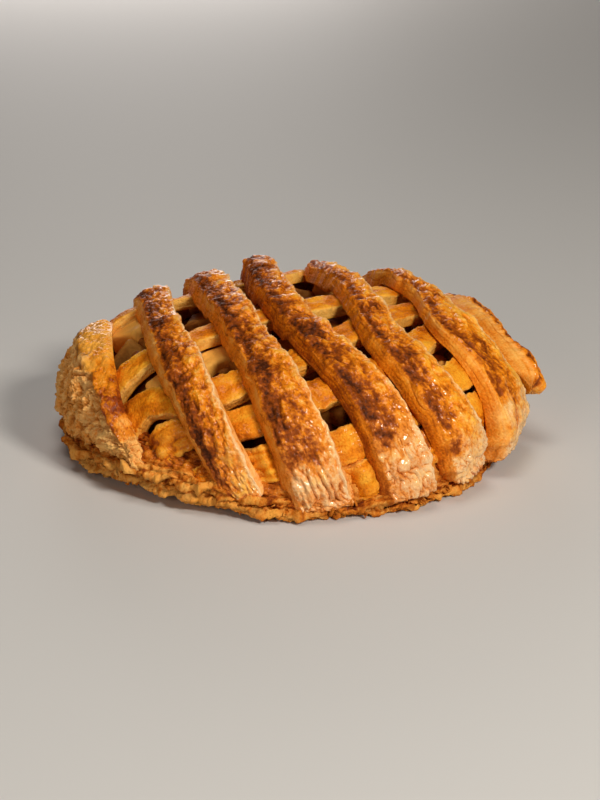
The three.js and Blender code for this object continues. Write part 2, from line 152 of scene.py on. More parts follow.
class Grain:
    """Seeded noise over space, for everything that baking makes uneven."""

    TABLE = 256
    WAVE_GAIN = 1.6
    PUFF_GAIN = 1.6
    OCTAVE_SHIFT = 7.3
    FAR = 9.0

    def __init__(self, seed: int) -> None:
        """Draws the tables of random slopes and chances.

        Args:
            seed: number that fixes every draw.
        """
        rng = np.random.default_rng(seed)
        slopes = rng.normal(size=(self.TABLE, 3))
        self.order = rng.permutation(self.TABLE)
        self.slopes = slopes / np.linalg.norm(slopes, axis=1, keepdims=True)
        self.chances = rng.random((self.TABLE, 4))

    def pick(self, cells: Array) -> Array:
        """Table entry of each cell, mixed from its whole-number coordinates in turn.

        Args:
            cells: whole-number coordinates, (..., 3).

        Returns:
            Entry of each cell, (...).
        """
        entry = np.zeros(cells.shape[:-1], int)
        for cell in np.moveaxis(cells, -1, 0):
            entry = self.order[(entry + cell) % self.TABLE]
        return entry

    def wave(self, points: Array, size: float | tuple[float, ...]) -> Array:
        """Gradient noise: random slopes at the corners of a lattice, faded into each other.

        The fade is the quintic curve 6t^5 - 15t^4 + 10t^3 of the place between two corners.

        Args:
            points: places, (..., 3).
            size: lattice spacing, one for all axes or one each.

        Returns:
            Noise of about -1 to 1, (...).
        """
        place = points / np.asarray(size, float)
        cell = np.floor(place).astype(int)
        part = place - cell
        fade = part**3 * (part * (part * 6 - 15) + 10)
        total = np.zeros(points.shape[:-1])
        for corner in np.ndindex(2, 2, 2):
            near = np.asarray(corner)
            entry = self.pick(cell + near)
            weight = np.prod(np.where(near == 1, fade, 1 - fade), axis=-1)
            total += weight * np.einsum("...k,...k->...", self.slopes[entry], part - near)
        return self.WAVE_GAIN * total

    def layered(self, points: Array, ripple: Ripple) -> Array:
        """Sum of waves, each half the size and half the height of the one before.

        Args:
            points: places, (..., 3).
            ripple: size of the first wave and number of waves.

        Returns:
            Noise of about -1 to 1, (...).
        """
        places, size = points + ripple.shift, np.asarray(ripple.size, float)
        halves = range(ripple.octaves)
        return sum(self.wave(places + self.OCTAVE_SHIFT * k, size / 2**k) / 2**k for k in halves)

    def puffs(self, points: Array, ripple: Ripple) -> Array:
        """Puffed surface, 0 to 1: round humps that meet in creases, the noise's absolute value."""
        return np.minimum(np.abs(self.wave(points + ripple.shift, ripple.size)) * self.PUFF_GAIN, 1.0)

    def crests(self, points: Array, ripple: Ripple) -> Array:
        """Crumpled surface, 0 to 1: sharp crests with round hollows between them."""
        return 1.0 - self.puffs(points, ripple)

    def cells(self, points: Array, ripple: Ripple) -> tuple[Array, Array, Array]:
        """Broken surface: every place belongs to the nearest of some scattered seeds.

        Args:
            points: places, (..., 3).
            ripple: spacing of the seeds.

        Returns:
            Distance to the seed, distance to the border with the next seed, and the seed's own
            random number, each (...), with distances as shares of the spacing.
        """
        place = (points + ripple.shift) / np.asarray(ripple.size, float)
        cell = np.floor(place).astype(int)
        near = np.full(points.shape[:-1], self.FAR)
        second, chance = near.copy(), np.zeros_like(near)
        for step in np.ndindex(3, 3, 3):
            spot = cell + np.asarray(step) - 1
            draw = self.chances[self.pick(spot)]
            away = np.linalg.norm(place - spot - draw[..., :3], axis=-1)
            second = np.minimum(second, np.maximum(near, away))
            chance = np.where(away < near, draw[..., 3], chance)
            near = np.minimum(near, away)
        return near, second - near, chance


@dataclass(frozen=True)
class Swell:
    """Place round the pie where it is larger, lower or higher than its even dome."""

    size: float
    at: float
    spread: float

    def share(self, angle: Array) -> Array:
        """Bell-shaped share of a direction, with the place given in degrees."""
        turn = (np.degrees(angle) - self.at + 180.0) % 360.0 - 180.0
        return self.size * bell(turn, 0.0, self.spread)


@dataclass(frozen=True)
class Hump:
    """Place on the unrolled bed where the filling lifts the lower strips."""

    at: Span
    spread: Span
    size: float

    def lift(self, flat: Array) -> Array:
        """Bell-shaped lift of places on the unrolled bed."""
        away = (flat - np.array(self.at)) / np.array(self.spread)
        return self.size * np.exp(-np.sum(away**2, axis=-1))


@dataclass(frozen=True)
class Dome:
    """Bed that the lower strips lie on: a crown arc, a shoulder arc and a steep wall, turned."""

    top_height: float = 48.0
    stack: float = 8.7
    crown_radius: float = 190.0
    crown_angle: float = math.radians(15.5)
    shoulder_radius: float = 30.0
    wall_angle: float = math.radians(85.0)
    wall_foot: float = 3.9
    end_ease: float = 3.0
    rim_radius: float = 72.0
    swell_from: float = 20.0
    swells: tuple[Swell, ...] = (Swell(0.05, -58, 22), Swell(0.04, -92, 18), Swell(-0.035, -16, 18))
    sink: Swell = Swell(0.06, 152, 38)
    sink_reach: Span = (10.0, 60.0)
    curl: Swell = Swell(2.8, -122, 24)
    curl_reach: Span = (58.0, 74.0)
    shift: Span = (-1.154, 1.349)
    narrow: Swell = Swell(4.6, -28, 34)
    humps: tuple[Hump, ...] = (
        Hump((-54.0, 20.0), (16.0, 18.0), 2.6), Hump((12.0, 58.0), (40.0, 16.0), 3.0))

    @property
    def crown(self) -> float:
        """Radius of the bed's crown arc."""
        return self.crown_radius - self.stack

    @property
    def shoulder(self) -> float:
        """Radius of the bed's shoulder arc."""
        return self.shoulder_radius - self.stack

    @property
    def crown_arc(self) -> float:
        """Distance along the bed where the crown ends."""
        return self.crown * self.crown_angle

    @property
    def shoulder_arc(self) -> float:
        """Distance along the bed where the shoulder ends."""
        return self.crown_arc + self.shoulder * (self.wall_angle - self.crown_angle)

    @property
    def end_arc(self) -> float:
        """Distance along the bed where the wall meets the base crust."""
        _, edge = self.outline(np.array(self.shoulder_arc), 0.0)
        return self.shoulder_arc + (float(edge) - self.wall_foot) / math.sin(self.wall_angle)

    def outline(self, arc: Array, out: Array | float) -> tuple[Array, Array]:
        """Dome's outline: the three stretches joined with a common tangent.

        Args:
            arc: distance along the bed from its top.
            out: distance off the bed along the outline's normal.

        Returns:
            Radius and height of each point.
        """
        arc = np.asarray(arc, float)
        bend = np.clip(arc, 0.0, self.crown_arc) / self.crown
        turn = np.clip(arc - self.crown_arc, 0.0, self.shoulder_arc - self.crown_arc) / self.shoulder
        fall = np.maximum(arc - self.shoulder_arc, 0.0)
        tilt = bend + turn
        first = self.crown_angle
        radius = self.crown * np.sin(bend) + self.shoulder * (np.sin(first + turn) - math.sin(first))
        height = self.top_height - self.stack - self.crown * (1.0 - np.cos(bend))
        height = height - self.shoulder * (math.cos(first) - np.cos(first + turn))
        radius = radius + fall * math.cos(self.wall_angle) + out * np.sin(tilt)
        height = height - fall * math.sin(self.wall_angle) + out * np.cos(tilt)
        return radius, height

    def eased(self, arc: Array) -> Array:
        """Distances along the bed, eased by a falling exponential so that none runs past the rim.

        Args:
            arc: distances along the bed from its top.

        Returns:
            The same distances, shortened near the end.
        """
        start = self.end_arc - self.end_ease
        past = np.maximum(arc - start, 0.0)
        return np.where(arc < start, arc, self.end_arc - self.end_ease * np.exp(-past / self.end_ease))

    def settled(self, points: Array) -> Array:
        """Points of the even dome moved into the pie's own uneven form, centred over the origin.

        Args:
            points: places in space, (..., 3).

        Returns:
            The moved places, (..., 3).
        """
        x, y, z = np.moveaxis(points, -1, 0)
        radius = np.hypot(x, y)
        angle = np.arctan2(y, x)
        swell = sum(place.share(angle) for place in self.swells)
        grow = 1.0 + swell * smooth(radius, self.swell_from, self.rim_radius)
        drop = 1.0 - self.sink.share(angle) * smooth(radius, *self.sink_reach)
        lift = self.curl.share(angle) * smooth(radius, *self.curl_reach)
        return points_of(x * grow + self.shift[0], y * grow + self.shift[1], z * drop + lift)

    def heaped(self, flat: Array) -> Array:
        """How far the heaped filling lifts places on the unrolled bed."""
        return sum(hump.lift(flat) for hump in self.humps)

    def turned(self, angle: Array, radius: Array, height: Array) -> Array:
        """Points at an angle round the axis, settled."""
        return self.settled(points_of(radius * np.cos(angle), radius * np.sin(angle), height))

    def at(self, flat: Array, out: Array | float, past: Array | float = 0.0) -> Array:
        """Points of the unrolled bed put on the dome at a height over it, settled.

        Args:
            flat: places on the unrolled bed, (..., 2).
            out: height over the bed.
            past: how far each point goes on down the wall beyond its eased place.

        Returns:
            Places in space, (..., 3).
        """
        radius, height = self.outline(self.eased(np.hypot(flat[..., 0], flat[..., 1])) + past, out)
        return self.turned(np.arctan2(flat[..., 1], flat[..., 0]), radius, height)


@dataclass(frozen=True)
class Mark:
    """Spot on a strip that baked darker, or paler where its strength is negative."""

    along: float
    across: float
    length: float
    width: float
    strength: float


@dataclass(frozen=True)
class Route:
    """Line of a strip over the unrolled bed, with its width at the start, middle and end."""

    points: tuple[Span, ...]
    widths: Triple = (0.0, 0.0, 0.0)
    puff: float = 0.0
    puff_at: float = 0.3
    tab: float = 0.0
    toast: float = 0.0
    flank: float = 0.0
    skirt: float = 0.0
    drop: float = 0.0
    swell: float = 0.0
    wrinkle: float = 0.3
    bare: float = 0.9
    pale_from: float = 66.0
    marks: tuple[Mark, ...] = ()

    def width(self, along: Array) -> Array:
        """Width at shares of the length, eased between the three widths.

        Args:
            along: shares of the length, from 0 to 1.

        Returns:
            Width at each share.
        """
        first, middle, last = self.widths
        near = lerp(first, middle, smooth(along, 0.0, 0.5))
        return np.where(along < 0.5, near, lerp(middle, last, smooth(along, 0.5, 1.0)))


@dataclass(frozen=True)
class Course:
    """Stations of a route: place on the unrolled bed and true sideways direction of each."""

    along: Array
    length: float
    place: Array
    aside: Array

    @classmethod
    def over(cls, dome: Dome, route: Route, along: Array) -> "Course":
        """Lays a route out at shares of its length.

        Sideways is square to the direction of travel on the dome itself, where distances round
        the axis are shorter than on the unrolled bed.

        Args:
            dome: the bed.
            route: the line.
            along: shares of the length, from 0 to 1.

        Returns:
            The stations.
        """
        fine = spline(route.points, CURVE_STEPS)
        run = run_of(fine)
        length = float(run[-1])
        place = np.stack([np.interp(along * length, run, fine[:, k]) for k in (0, 1)], axis=-1)
        slope = np.gradient(fine, run, axis=0)
        travel = np.stack([np.interp(along * length, run, slope[:, k]) for k in (0, 1)], axis=-1)
        arc = np.maximum(np.hypot(place[:, 0], place[:, 1]), NEAR_AXIS)
        radial = place / arc[:, None]
        round_ = np.stack([-radial[:, 1], radial[:, 0]], axis=-1)
        shrink = dome.outline(dome.eased(arc), 0.0)[0] / arc
        out = np.sum(travel * radial, axis=-1)
        turn = np.sum(travel * round_, axis=-1) * shrink
        size = np.hypot(out, turn)
        aside = radial * (-turn / size)[:, None] + round_ * (out / size / shrink)[:, None]
        return cls(along, length, place, aside)

    @property
    def arc(self) -> Array:
        """Distance of each station along the bed from its top."""
        return np.hypot(self.place[:, 0], self.place[:, 1])


def wobble(along: Array, strip: int) -> Array:
    """Slow wave along a strip, different for each: the sum of three sines.

    Each sine has its size, its waves along the strip, its shift from strip to strip and its start.

    Args:
        along: shares of the strip's length.
        strip: the strip's number.

    Returns:
        Wave of -1 to 1 at each share.
    """
    turn = 2.0 * math.pi * along
    return sum(size * np.sin(rate * turn + step * strip + start) for size, rate, step, start in WOBBLE)


@dataclass
class Tube:
    """Closed skin over rings of points, with a pole at each end, and attributes of its points."""

    grid: Array
    marks: dict[str, Array] = field(default_factory=dict)

    def normals(self) -> Array:
        """Outward normals: the two directions of the grid crossed, turned by the volume's sign.

        Returns:
            Normals of length 1, (rings, count, 3).
        """
        ahead = np.gradient(self.grid, axis=0)
        beside = np.roll(self.grid, -1, axis=1) - np.roll(self.grid, 1, axis=1)
        normal = np.cross(ahead, beside)
        size = np.linalg.norm(normal, axis=-1, keepdims=True)
        return self.sense() * normal / np.maximum(size, TINY)

    def sense(self) -> float:
        """Sign of the volume that the grid encloses in its own order.

        Returns:
            1 where the order points outwards, and -1 where it points inwards.
        """
        corner = self.grid - self.grid.mean(axis=(0, 1))
        a, b = corner[:-1], np.roll(corner, -1, axis=1)[:-1]
        c, d = corner[1:], np.roll(corner, -1, axis=1)[1:]
        volume = np.sum(np.cross(a, c) * d) + np.sum(np.cross(a, d) * b)
        return 1.0 if volume > 0 else -1.0

    def raised(self, height: Array) -> "Tube":
        """The same skin moved along its normals."""
        return Tube(self.grid + self.normals() * height[..., None], self.marks)

    def skin(self) -> "Skin":
        """Points, triangles and attributes, with each end closed by a fan to its pole.

        Returns:
            The mesh.
        """
        rings, count = self.grid.shape[:2]
        points = np.concatenate([self.grid.reshape(-1, 3), self.grid[[0, -1]].mean(axis=1)])
        index = np.arange(rings * count).reshape(rings, count)
        here, beyond = index[:-1].ravel(), index[1:].ravel()
        here_next = np.roll(index, -1, axis=1)[:-1].ravel()
        beyond_next = np.roll(index, -1, axis=1)[1:].ravel()
        first, last = rings * count, rings * count + 1
        start = np.stack([np.full(count, first), index[0], np.roll(index[0], -1)], axis=1)
        end = np.stack([index[-1], np.full(count, last), np.roll(index[-1], -1)], axis=1)
        faces = np.concatenate([
            np.stack([here, beyond, beyond_next], axis=1),
            np.stack([here, beyond_next, here_next], axis=1),
            start,
            end,
        ])
        if self.sense() < 0:
            faces = faces[:, ::-1]
        marks = {}
        for name, values in self.marks.items():
            full = np.broadcast_to(values, (rings, count))
            marks[name] = np.concatenate([full.ravel(), full[[0, -1]].mean(axis=1)])
        return Skin(points, faces, marks)


@dataclass
class Skin:
    """Triangle mesh in millimetres with attributes of its points."""

    points: Array
    faces: Array
    marks: dict[str, Array]

    @classmethod
    def joined(cls, skins: list["Skin"]) -> "Skin":
        """One mesh from several.

        Args:
            skins: meshes with the same attributes.

        Returns:
            The joined mesh.
        """
        starts = np.cumsum([0] + [len(skin.points) for skin in skins[:-1]])
        faces = np.concatenate([skin.faces + start for skin, start in zip(skins, starts)])
        names = skins[0].marks
        marks = {name: np.concatenate([skin.marks[name] for skin in skins]) for name in names}
        return cls(np.concatenate([skin.points for skin in skins]), faces, marks)

    def piece(self, name: str, finish: Material, slot: Slot, *nodes: str) -> Object:
        """Puts the mesh into the scene as a piece of the pie.

        Args:
            name: the piece's name.
            finish: its material.
            slot: the record's slot that it is dressed from; not used.
            nodes: solids that it stands for.

        Returns:
            The new object.
        """
        mesh = bpy.data.meshes.new(name)
        mesh.vertices.add(len(self.points))
        mesh.vertices.foreach_set("co", (self.points * MM).astype(np.float32).ravel())
        mesh.loops.add(self.faces.size)
        mesh.loops.foreach_set("vertex_index", self.faces.astype(np.int32).ravel())
        mesh.polygons.add(len(self.faces))
        mesh.polygons.foreach_set("loop_start", np.arange(0, self.faces.size, 3, dtype=np.int32))
        mesh.update(calc_edges=True)
        mesh.shade_smooth()
        for mark, values in self.marks.items():
            layer = mesh.attributes.new(mark, "FLOAT", "POINT")
            layer.data.foreach_set("value", values.astype(np.float32))
        mesh.materials.append(finish)
        piece = bpy.data.objects.new(name, mesh)
        bpy.context.scene.collection.objects.link(piece)
        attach(piece, BODY)
        if nodes:
            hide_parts(*nodes)
        LOG.info("%s: %d triangles, stands for %s", name, len(self.faces), ", ".join(nodes) or "no solid")
        return piece


@dataclass(frozen=True)
class Section:
    """Closed cross-section of a strip, as fractions of half width and thickness."""

    outline: tuple[Span, ...]
    aspect: Span = (5.0, 4.3)
    over: int = 60
    under: int = 8

    def points(self) -> tuple[Array, Array]:
        """Section's points: even steps over the sides and top, then straight back underneath.

        Returns:
            Sideways fraction and rise of each point, once round.
        """
        fine = spline(self.outline, CURVE_STEPS)
        run = run_of(fine * self.aspect)
        steps = np.linspace(0.0, run[-1], self.over)
        side, rise = (np.interp(steps, run, fine[:, k]) for k in (0, 1))
        back = np.linspace(side[-1], side[0], self.under + 2)[1:-1]
        return np.concatenate([side, back]), np.concatenate([rise, np.zeros(self.under)])


UPPER_SECTION = Section((
    (-1.22, 0.0), (-1.18, 0.3), (-1.13, 0.6), (-1.07, 0.82), (-0.96, 0.94), (-0.6, 1.02), (0.0, 1.06),
    (0.5, 1.03), (0.84, 0.95), (0.97, 0.82), (1.0, 0.56), (1.0, 0.28), (1.0, 0.0)), over=98)
LOWER_SECTION = Section((
    (-0.98, 0.0), (-1.0, 0.4), (-1.0, 0.8), (-0.93, 0.95), (-0.55, 1.02), (0.0, 1.04), (0.55, 1.02),
    (0.93, 0.95), (1.0, 0.8), (1.0, 0.4), (0.98, 0.0)))


@dataclass
class Lattice:
    """Both layers of strips, for what each needs to know of the other."""

    dome: Dome
    lower: tuple[Route, ...]
    upper: tuple[Route, ...]
    side: Route
    side_reach: float = 4.0
    clear: Span = (2.5, 6.5)
    stations: int = 100
    side_every: int = 4
    side_columns: int = 5
    lines: int = 5
    batch: int = 150

    def __post_init__(self) -> None:
        """Works out the points that each layer covers, with their reach."""
        along = np.linspace(0.0, 1.0, self.stations + 1)
        self.under = self.cover(self.lower, along)
        place = Course.over(self.dome, self.side, along[::self.side_every]).place
        length = np.hypot(place[:, 0], place[:, 1])[:, None]
        reach = lerp(length, self.dome.end_arc, np.linspace(0.0, 1.0, self.side_columns)[None, :])
        wall = (place[:, None, :] / length[..., None] * reach[..., None]).reshape(-1, 2)
        edge = np.full((len(wall), 1), self.side_reach)
        wall = np.concatenate([wall, edge], axis=1)
        self.over = np.concatenate([self.cover(self.upper, along), wall])

    def cover(self, routes: tuple[Route, ...], along: Array) -> Array:
        """Rows of place and half width along each of some routes.

        Args:
            routes: the strips' lines.
            along: shares of their lengths.

        Returns:
            Place on the unrolled bed and half width there, (..., 3).
        """
        places = (Course.over(self.dome, route, along).place for route in routes)
        halves = (route.width(along) / 2 for route in routes)
        return np.concatenate([np.column_stack(row) for row in zip(places, halves)])

    def clearance(self, flat: Array, cover: Array) -> Array:
        """How clear places of the bed are of a layer, by the distance to its nearest edge.

        Args:
            flat: places on the unrolled bed, (..., 2).
            cover: rows of place and half width of the layer.

        Returns:
            0 at the layer's strips to 1 well away from them, (...).
        """
        spots = flat.reshape(-1, 2)
        gap = np.full(len(spots), np.inf)
        for part in np.array_split(cover, max(1, len(cover) // self.batch)):
            away = np.hypot(spots[:, :1] - part[:, 0], spots[:, 1:] - part[:, 1]) - part[:, 2]
            gap = np.minimum(gap, away.min(axis=1))
        return smooth(gap, *self.clear).reshape(flat.shape[:-1])

    def across(self, course: Course, half: Array, side: Array, cover: Array) -> Array:
        """Clearance over a strip's whole width, measured on a few lines and blended between them.

        Args:
            course: the strip's stations.
            half: half its width at each station.
            side: sideways fraction of each point of its section.
            cover: rows of place and half width of the layer.

        Returns:
            Clearance of each point of each ring.
        """
        lines = np.linspace(-1.0, 1.0, self.lines)
        flat = course.place[:, None, :] + course.aside[:, None, :] * (half[:, None] * lines)[..., None]
        known = self.clearance(flat, cover)
        last = self.lines - 1
        spot = np.clip((side + 1.0) * last / 2, 0.0, last)
        low = np.minimum(spot.astype(int), last - 1)
        return lerp(known[:, low], known[:, low + 1], spot - low)


class Face(Enum):
    """Parts of a strip's section."""

    TOP = "top"
    EDGE = "edge"
    FLANK = "flank"


@dataclass
class Strip:
    """One strip of pastry: its section carried along its route, with baked relief and browning."""

    name: str
    number: int
    route: Route
    lattice: Lattice
    section: Section
    slot: Slot
    seeds: tuple[int, int] = (31, 7)
    step: float = 0.3
    cap: float = 1.8
    cap_rings: int = 8
    width_wave: float = 0.05
    flare: float = 0.10
    ends: Span = (67.0, 80.0)
    edges_apart: float = 40.0
    strips_apart: float = 11.0
    edge_wave: float = 0.75
    edge_ripple: Ripple = Ripple(5.0, 2)
    edge_share: Mix = Mix(0.4, rise=0.6)
    jag: float = 0.45
    jag_ripple: Ripple = Ripple(1.7, 2, 3.0)
    hang_arc: Span = (74.0, 84.0)
    hang_height: Span = (4.5, 6.5)
    hang_share: Mix = Mix(1.0, wave=0.35)
    hang_ripple: Ripple = Ripple(3.0)
    sheets_apart: float = 17.0
    flank_sheet: Mix = Mix(-9.0, rise=5.0)
    leaf_depth: float = 0.2
    leaf_level: Mix = Mix(thickness=2.6, sway=0.5, tremble=0.2)
    leaf_sway: Ripple = Ripple(11.0)
    leaf_tremble: Ripple = Ripple(4.0)
    leaf_length: float = 9.0
    leaf_stand: Ripple = Ripple(1.0, 1, 0.37)
    leaf_gap: Ripple = Ripple(1.25, 1, 6.375)
    groove_half: float = 0.13
    leaf_relief: Mix = Mix(stand=1.1, groove=-0.9, lip=0.5)
    spot_rag: float = 0.5
    spot_ripple: Ripple = Ripple(2.6, 3)

    def __post_init__(self) -> None:
        """Lays out the stations, close together in the rounded ends, and the section."""
        dome = self.lattice.dome
        length = Course.over(dome, self.route, np.linspace(0.0, 1.0, 3)).length
        turn = np.linspace(0.0, math.pi / 2, self.cap_rings + 1)[1:]
        tip = self.cap * (1.0 - np.cos(turn))
        body = np.linspace(self.cap, length - self.cap, int(length / self.step))[1:-1]
        self.run = np.concatenate([tip, body, length - tip[::-1]])
        self.shrink = np.concatenate([np.sin(turn), np.ones(len(body)), np.sin(turn[::-1])])
        self.course = Course.over(dome, self.route, self.run / length)
        self.side, self.rise = self.section.points()
        first, each = self.seeds
        self.grain = Grain(first + each * self.number)
        self.ending = smooth(self.course.arc, *self.ends)
        self.rings = self.laid()

    def half(self) -> Array:
        """Half the width at each station."""
        raise NotImplementedError

    def heights(self, half: Array, rise: Array) -> Array:
        """Height of each point over the bed."""
        raise NotImplementedError

    def laid(self) -> Tube:
        """The plain strip before baking relief, its feet spread a little at both ends.

        Every ring is the section, scaled to the width and to the heights there. Two noises along
        the strip make its edges waver, and over the rim its top hangs further down the wall.

        Returns:
            The strip's skin.
        """
        half = self.half()
        side = self.side[None, :] * self.shrink[:, None]
        rise = lerp(0.5, self.rise[None, :], self.shrink[:, None])
        side = side * (1.0 + self.flare * self.ending[:, None] * (1.0 - rise))
        apart = self.edges_apart * np.sign(self.side)
        edge = points_of(self.run[:, None], apart, self.strips_apart * self.number)
        wave = self.edge_wave * self.grain.layered(edge, self.edge_ripple) * self.edge_share.of(rise=rise)
        wave = wave + self.jag * self.grain.layered(edge, self.jag_ripple) * smooth(rise, 0.55, 0.95)
        wave = wave * np.minimum(side**2, 1.0)
        skirt = self.route.skirt * (1.0 - rise) * np.minimum(side, 0.0)
        self.aside = side * half[:, None] + np.sign(side) * wave + skirt
        flat = self.course.place[:, None, :] + self.course.aside[:, None, :] * self.aside[..., None]
        height = self.heights(half, rise)
        tip = smooth(self.course.arc, *self.hang_arc)[:, None] * smooth(height, *self.hang_height)
        ragged = self.grain.layered(edge + points_of(0.0, self.aside, 0.0), self.hang_ripple)
        hang = self.route.drop * tip * self.hang_share.of(wave=ragged)
        return Tube(self.lattice.dome.at(flat, height, hang))

    def sheet(self) -> Array:
        """Each point's place on the strip rolled out.

        Returns:
            Place along the strip, place over the section, and a number apart for each strip.
        """
        flank = self.flank_sheet.of(rise=self.rise[None, :]) * self.facing(Face.FLANK)
        over = self.aside * self.facing(Face.TOP) + flank
        return points_of(self.run[:, None], over, self.sheets_apart * self.number)

    def facing(self, face: Face) -> Array:
        """Share of each point of the section that belongs to one of its faces.

        Args:
            face: the top, the flanks or the edge between them.

        Returns:
            Shares of 0 to 1, one row.
        """
        if face is Face.EDGE:
            return bell(self.rise, 0.9, 0.07)[None, :]
        top = smooth(self.rise, 0.84, 0.96)[None, :]
        if face is Face.TOP:
            return top
        return smooth(self.rise, 0.02, 0.12)[None, :] * (1.0 - top)

    def leaves(self) -> tuple[Array, Array, Array]:
        """Layers of puff pastry on the flanks.

        Each leaf stands out by its own slow wave, and a groove runs between two leaves.

        Returns:
            Relief height, how deep each point lies in a groove and how far it is on a lip, 0 to 1.
        """
        grid, grain = self.rings.grid, self.grain
        sway, tremble = grain.layered(grid, self.leaf_sway), grain.layered(grid, self.leaf_tremble)
        level = self.leaf_level.of(thickness=self.rise[None, :], sway=sway, tremble=tremble)
        leaf = np.floor(level)
        part = level - leaf
        run = self.run[:, None] / self.leaf_length
        spot = points_of(run, leaf * LAYER_APART, np.sign(self.side)[None, :])
        stand = grain.layered(spot, self.leaf_stand)
        open_ = smooth(grain.layered(spot, self.leaf_gap), -0.25, 0.35)
        groove = bell(np.minimum(part, 1.0 - part), 0.0, self.groove_half) * open_
        lip = bell(part, 0.76, 0.14) * smooth(stand, -0.4, 0.4)
        return self.leaf_depth * self.leaf_relief.of(stand=stand, groove=groove, lip=lip), groove, lip

    def scorched(self) -> Array:
        """Sum of the route's own dark and pale spots, each a ragged bell on the strip.

        Returns:
            How much darker, or paler where negative, each point is.
        """
        ragged = self.spot_rag * self.grain.layered(self.rings.grid, self.spot_ripple)
        total = np.zeros(self.rings.grid.shape[:2])
        for mark in self.route.marks:
            along = (self.run[:, None] - mark.along * self.course.length) / mark.length
            across = (self.aside - mark.across) / mark.width
            total += mark.strength * smooth(1.0 - np.hypot(along, across) + ragged, 0.0, 0.7)
        return total

    def baked(self) -> Tube:
        """The strip with its relief and its attributes."""
        raise NotImplementedError

    def build(self, finish: Material) -> Object:
        """Makes the piece that stands for the strip's solid."""
        return self.baked().skin().piece(f"{self.name}_pastry", finish, self.slot, self.name)


@dataclass
class LowerStrip(Strip):
    """Strip of the first layer: thick, pale golden, swollen where its ends show on the wall."""

    thickness: float = 4.2
    fullness: float = 0.9
    wave: float = 0.06
    swelling: float = 2.8
    spread: float = 0.3
    leaf_depth: float = 0.28
    end_arc: Span = (66.0, 74.0)
    pores: Ripple = Ripple(0.8)
    hills: Ripple = Ripple(9.0, 2)
    swells: Ripple = Ripple(3.6)
    bubbles: Ripple = Ripple(1.6)
    puffed: Mix = Mix(hills=0.6, swells=0.25, bubbles=0.1)
    streaks: Ripple = Ripple(2.4, 2)
    streak_stretch: float = 4.0
    smears: Ripple = Ripple(5.0, 2, 6.0)
    smear_stretch: float = 2.0
    folds: Ripple = Ripple((9.0, 2.4, 5.0))
    mottles: Ripple = Ripple(6.0, 3)
    body_relief: Mix = Mix(puffs=1.0, streak=0.25)
    end_relief: Mix = Mix(folds=0.9, puffs=0.4)
    flank_relief: Mix = Mix(leaf=1.0, puffs=0.3)
    pore_relief: float = 0.08
    # Browning: the crease weight and the weight near the upper strips are painted shade.
    brown: Mix = Mix(0.264, middle=0.08, mottle=0.2, streak=0.12, smear=0.26, crease=0.25, edge=-0.15,
                     covered=0.1, flank=-0.1, pores=-0.06)
    # The fold weight pales the crests of the end folds as a painted highlight.
    pale: Mix = Mix(flank=0.55, lip=0.3, edge=0.2, fold=0.2)
    gloss: Mix = Mix(0.6, mottle=0.3)
    dull: float = 0.95
    dull_from: Span = (-60.0, -30.0)
    # Painted shade in the flank grooves and near and under the upper strips.
    shade: Mix = Mix(groove=0.2, covered=0.12)

    def half(self) -> Array:
        """Half the width, with a slow wave, spread at the ends.

        Returns:
            Half the width at each station.
        """
        along = self.course.along
        width = self.route.width(along) * (1.0 + self.width_wave * wobble(along, self.number))
        return 0.5 * width * (1.0 + self.spread * self.ending)

    def heights(self, half: Array, rise: Array) -> Array:
        """Thickness over the bed, more where an end is free of the upper strips.

        Args:
            half: half the width at each station.
            rise: share of the thickness of each point.

        Returns:
            Height of each point over the bed.
        """
        along = self.course.along
        thick = self.thickness * (self.fullness + self.wave * wobble(1.0 - along, self.number))
        self.free = self.lattice.across(self.course, half, self.side, self.lattice.over)
        lift = self.lattice.dome.heaped(self.course.place)
        return lift[:, None] + rise * (thick[:, None] + self.swelling * self.ending[:, None] * self.free)

    def baked(self) -> Tube:
        """Soft puffs on top, layered flanks, and browning that is strongest along the middle, with
        painted shade near and under the upper strips, in the flank grooves and in the fold creases.

        Returns:
            The strip's skin with its relief and its attributes.
        """
        grid, grain = self.rings.grid, self.grain
        top, flank, edge = (self.facing(face) for face in (Face.TOP, Face.FLANK, Face.EDGE))
        end = smooth(self.course.arc, *self.end_arc)[:, None]
        leaf, groove, lip = self.leaves()
        rolled, pores = self.sheet(), grain.puffs(grid, self.pores)
        puffs = self.puffed.of(
            hills=grain.layered(grid, self.hills), swells=grain.puffs(grid, self.swells),
            bubbles=grain.puffs(grid, self.bubbles))
        streak = grain.layered(rolled / np.array([self.streak_stretch, 1.0, 1.0]), self.streaks)
        smear = grain.layered(rolled / np.array([self.smear_stretch, 1.0, 1.0]), self.smears)
        folds = grain.puffs(rolled, self.folds)
        body = self.body_relief.of(puffs=puffs, streak=streak)
        relief = top * lerp(body, self.end_relief.of(folds=folds, puffs=puffs), end)
        relief = relief + flank * self.flank_relief.of(leaf=leaf, puffs=puffs)
        mottle = grain.layered(grid, self.mottles)
        middle = bell(self.aside / self.half()[:, None], -0.1, 0.6)
        # Painted shade: 1 under the upper strips, fading to 0 well clear of them.
        covered = 1.0 - self.free
        brown = self.brown.of(
            middle=middle * top, mottle=mottle, streak=streak * top,
            smear=smooth(smear, 0.0, 0.5) * top, crease=end * (1.0 - smooth(folds, 0.0, 0.5)),
            edge=edge, covered=covered, flank=flank, pores=pores)
        # Crests of the end folds, paler as a painted highlight; their creases are browner as painted shade.
        back = end * smooth(folds, 0.3, 0.8)
        pale = self.pale.of(flank=flank, lip=flank * lip, edge=edge, fold=back)
        lit = 1.0 - self.dull * smooth(grid[..., 1], *self.dull_from)
        tube = self.rings.raised((relief + self.pore_relief * pores) * self.shrink[:, None])
        tube.marks = {
            "brown": brown + self.route.toast + self.scorched(),
            "pale": np.clip(pale, 0.0, 1.0),
            "gloss": top * self.gloss.of(mottle=mottle) * lit,
            "shade": self.shade.of(groove=flank * groove, covered=covered),
        }
        return tube


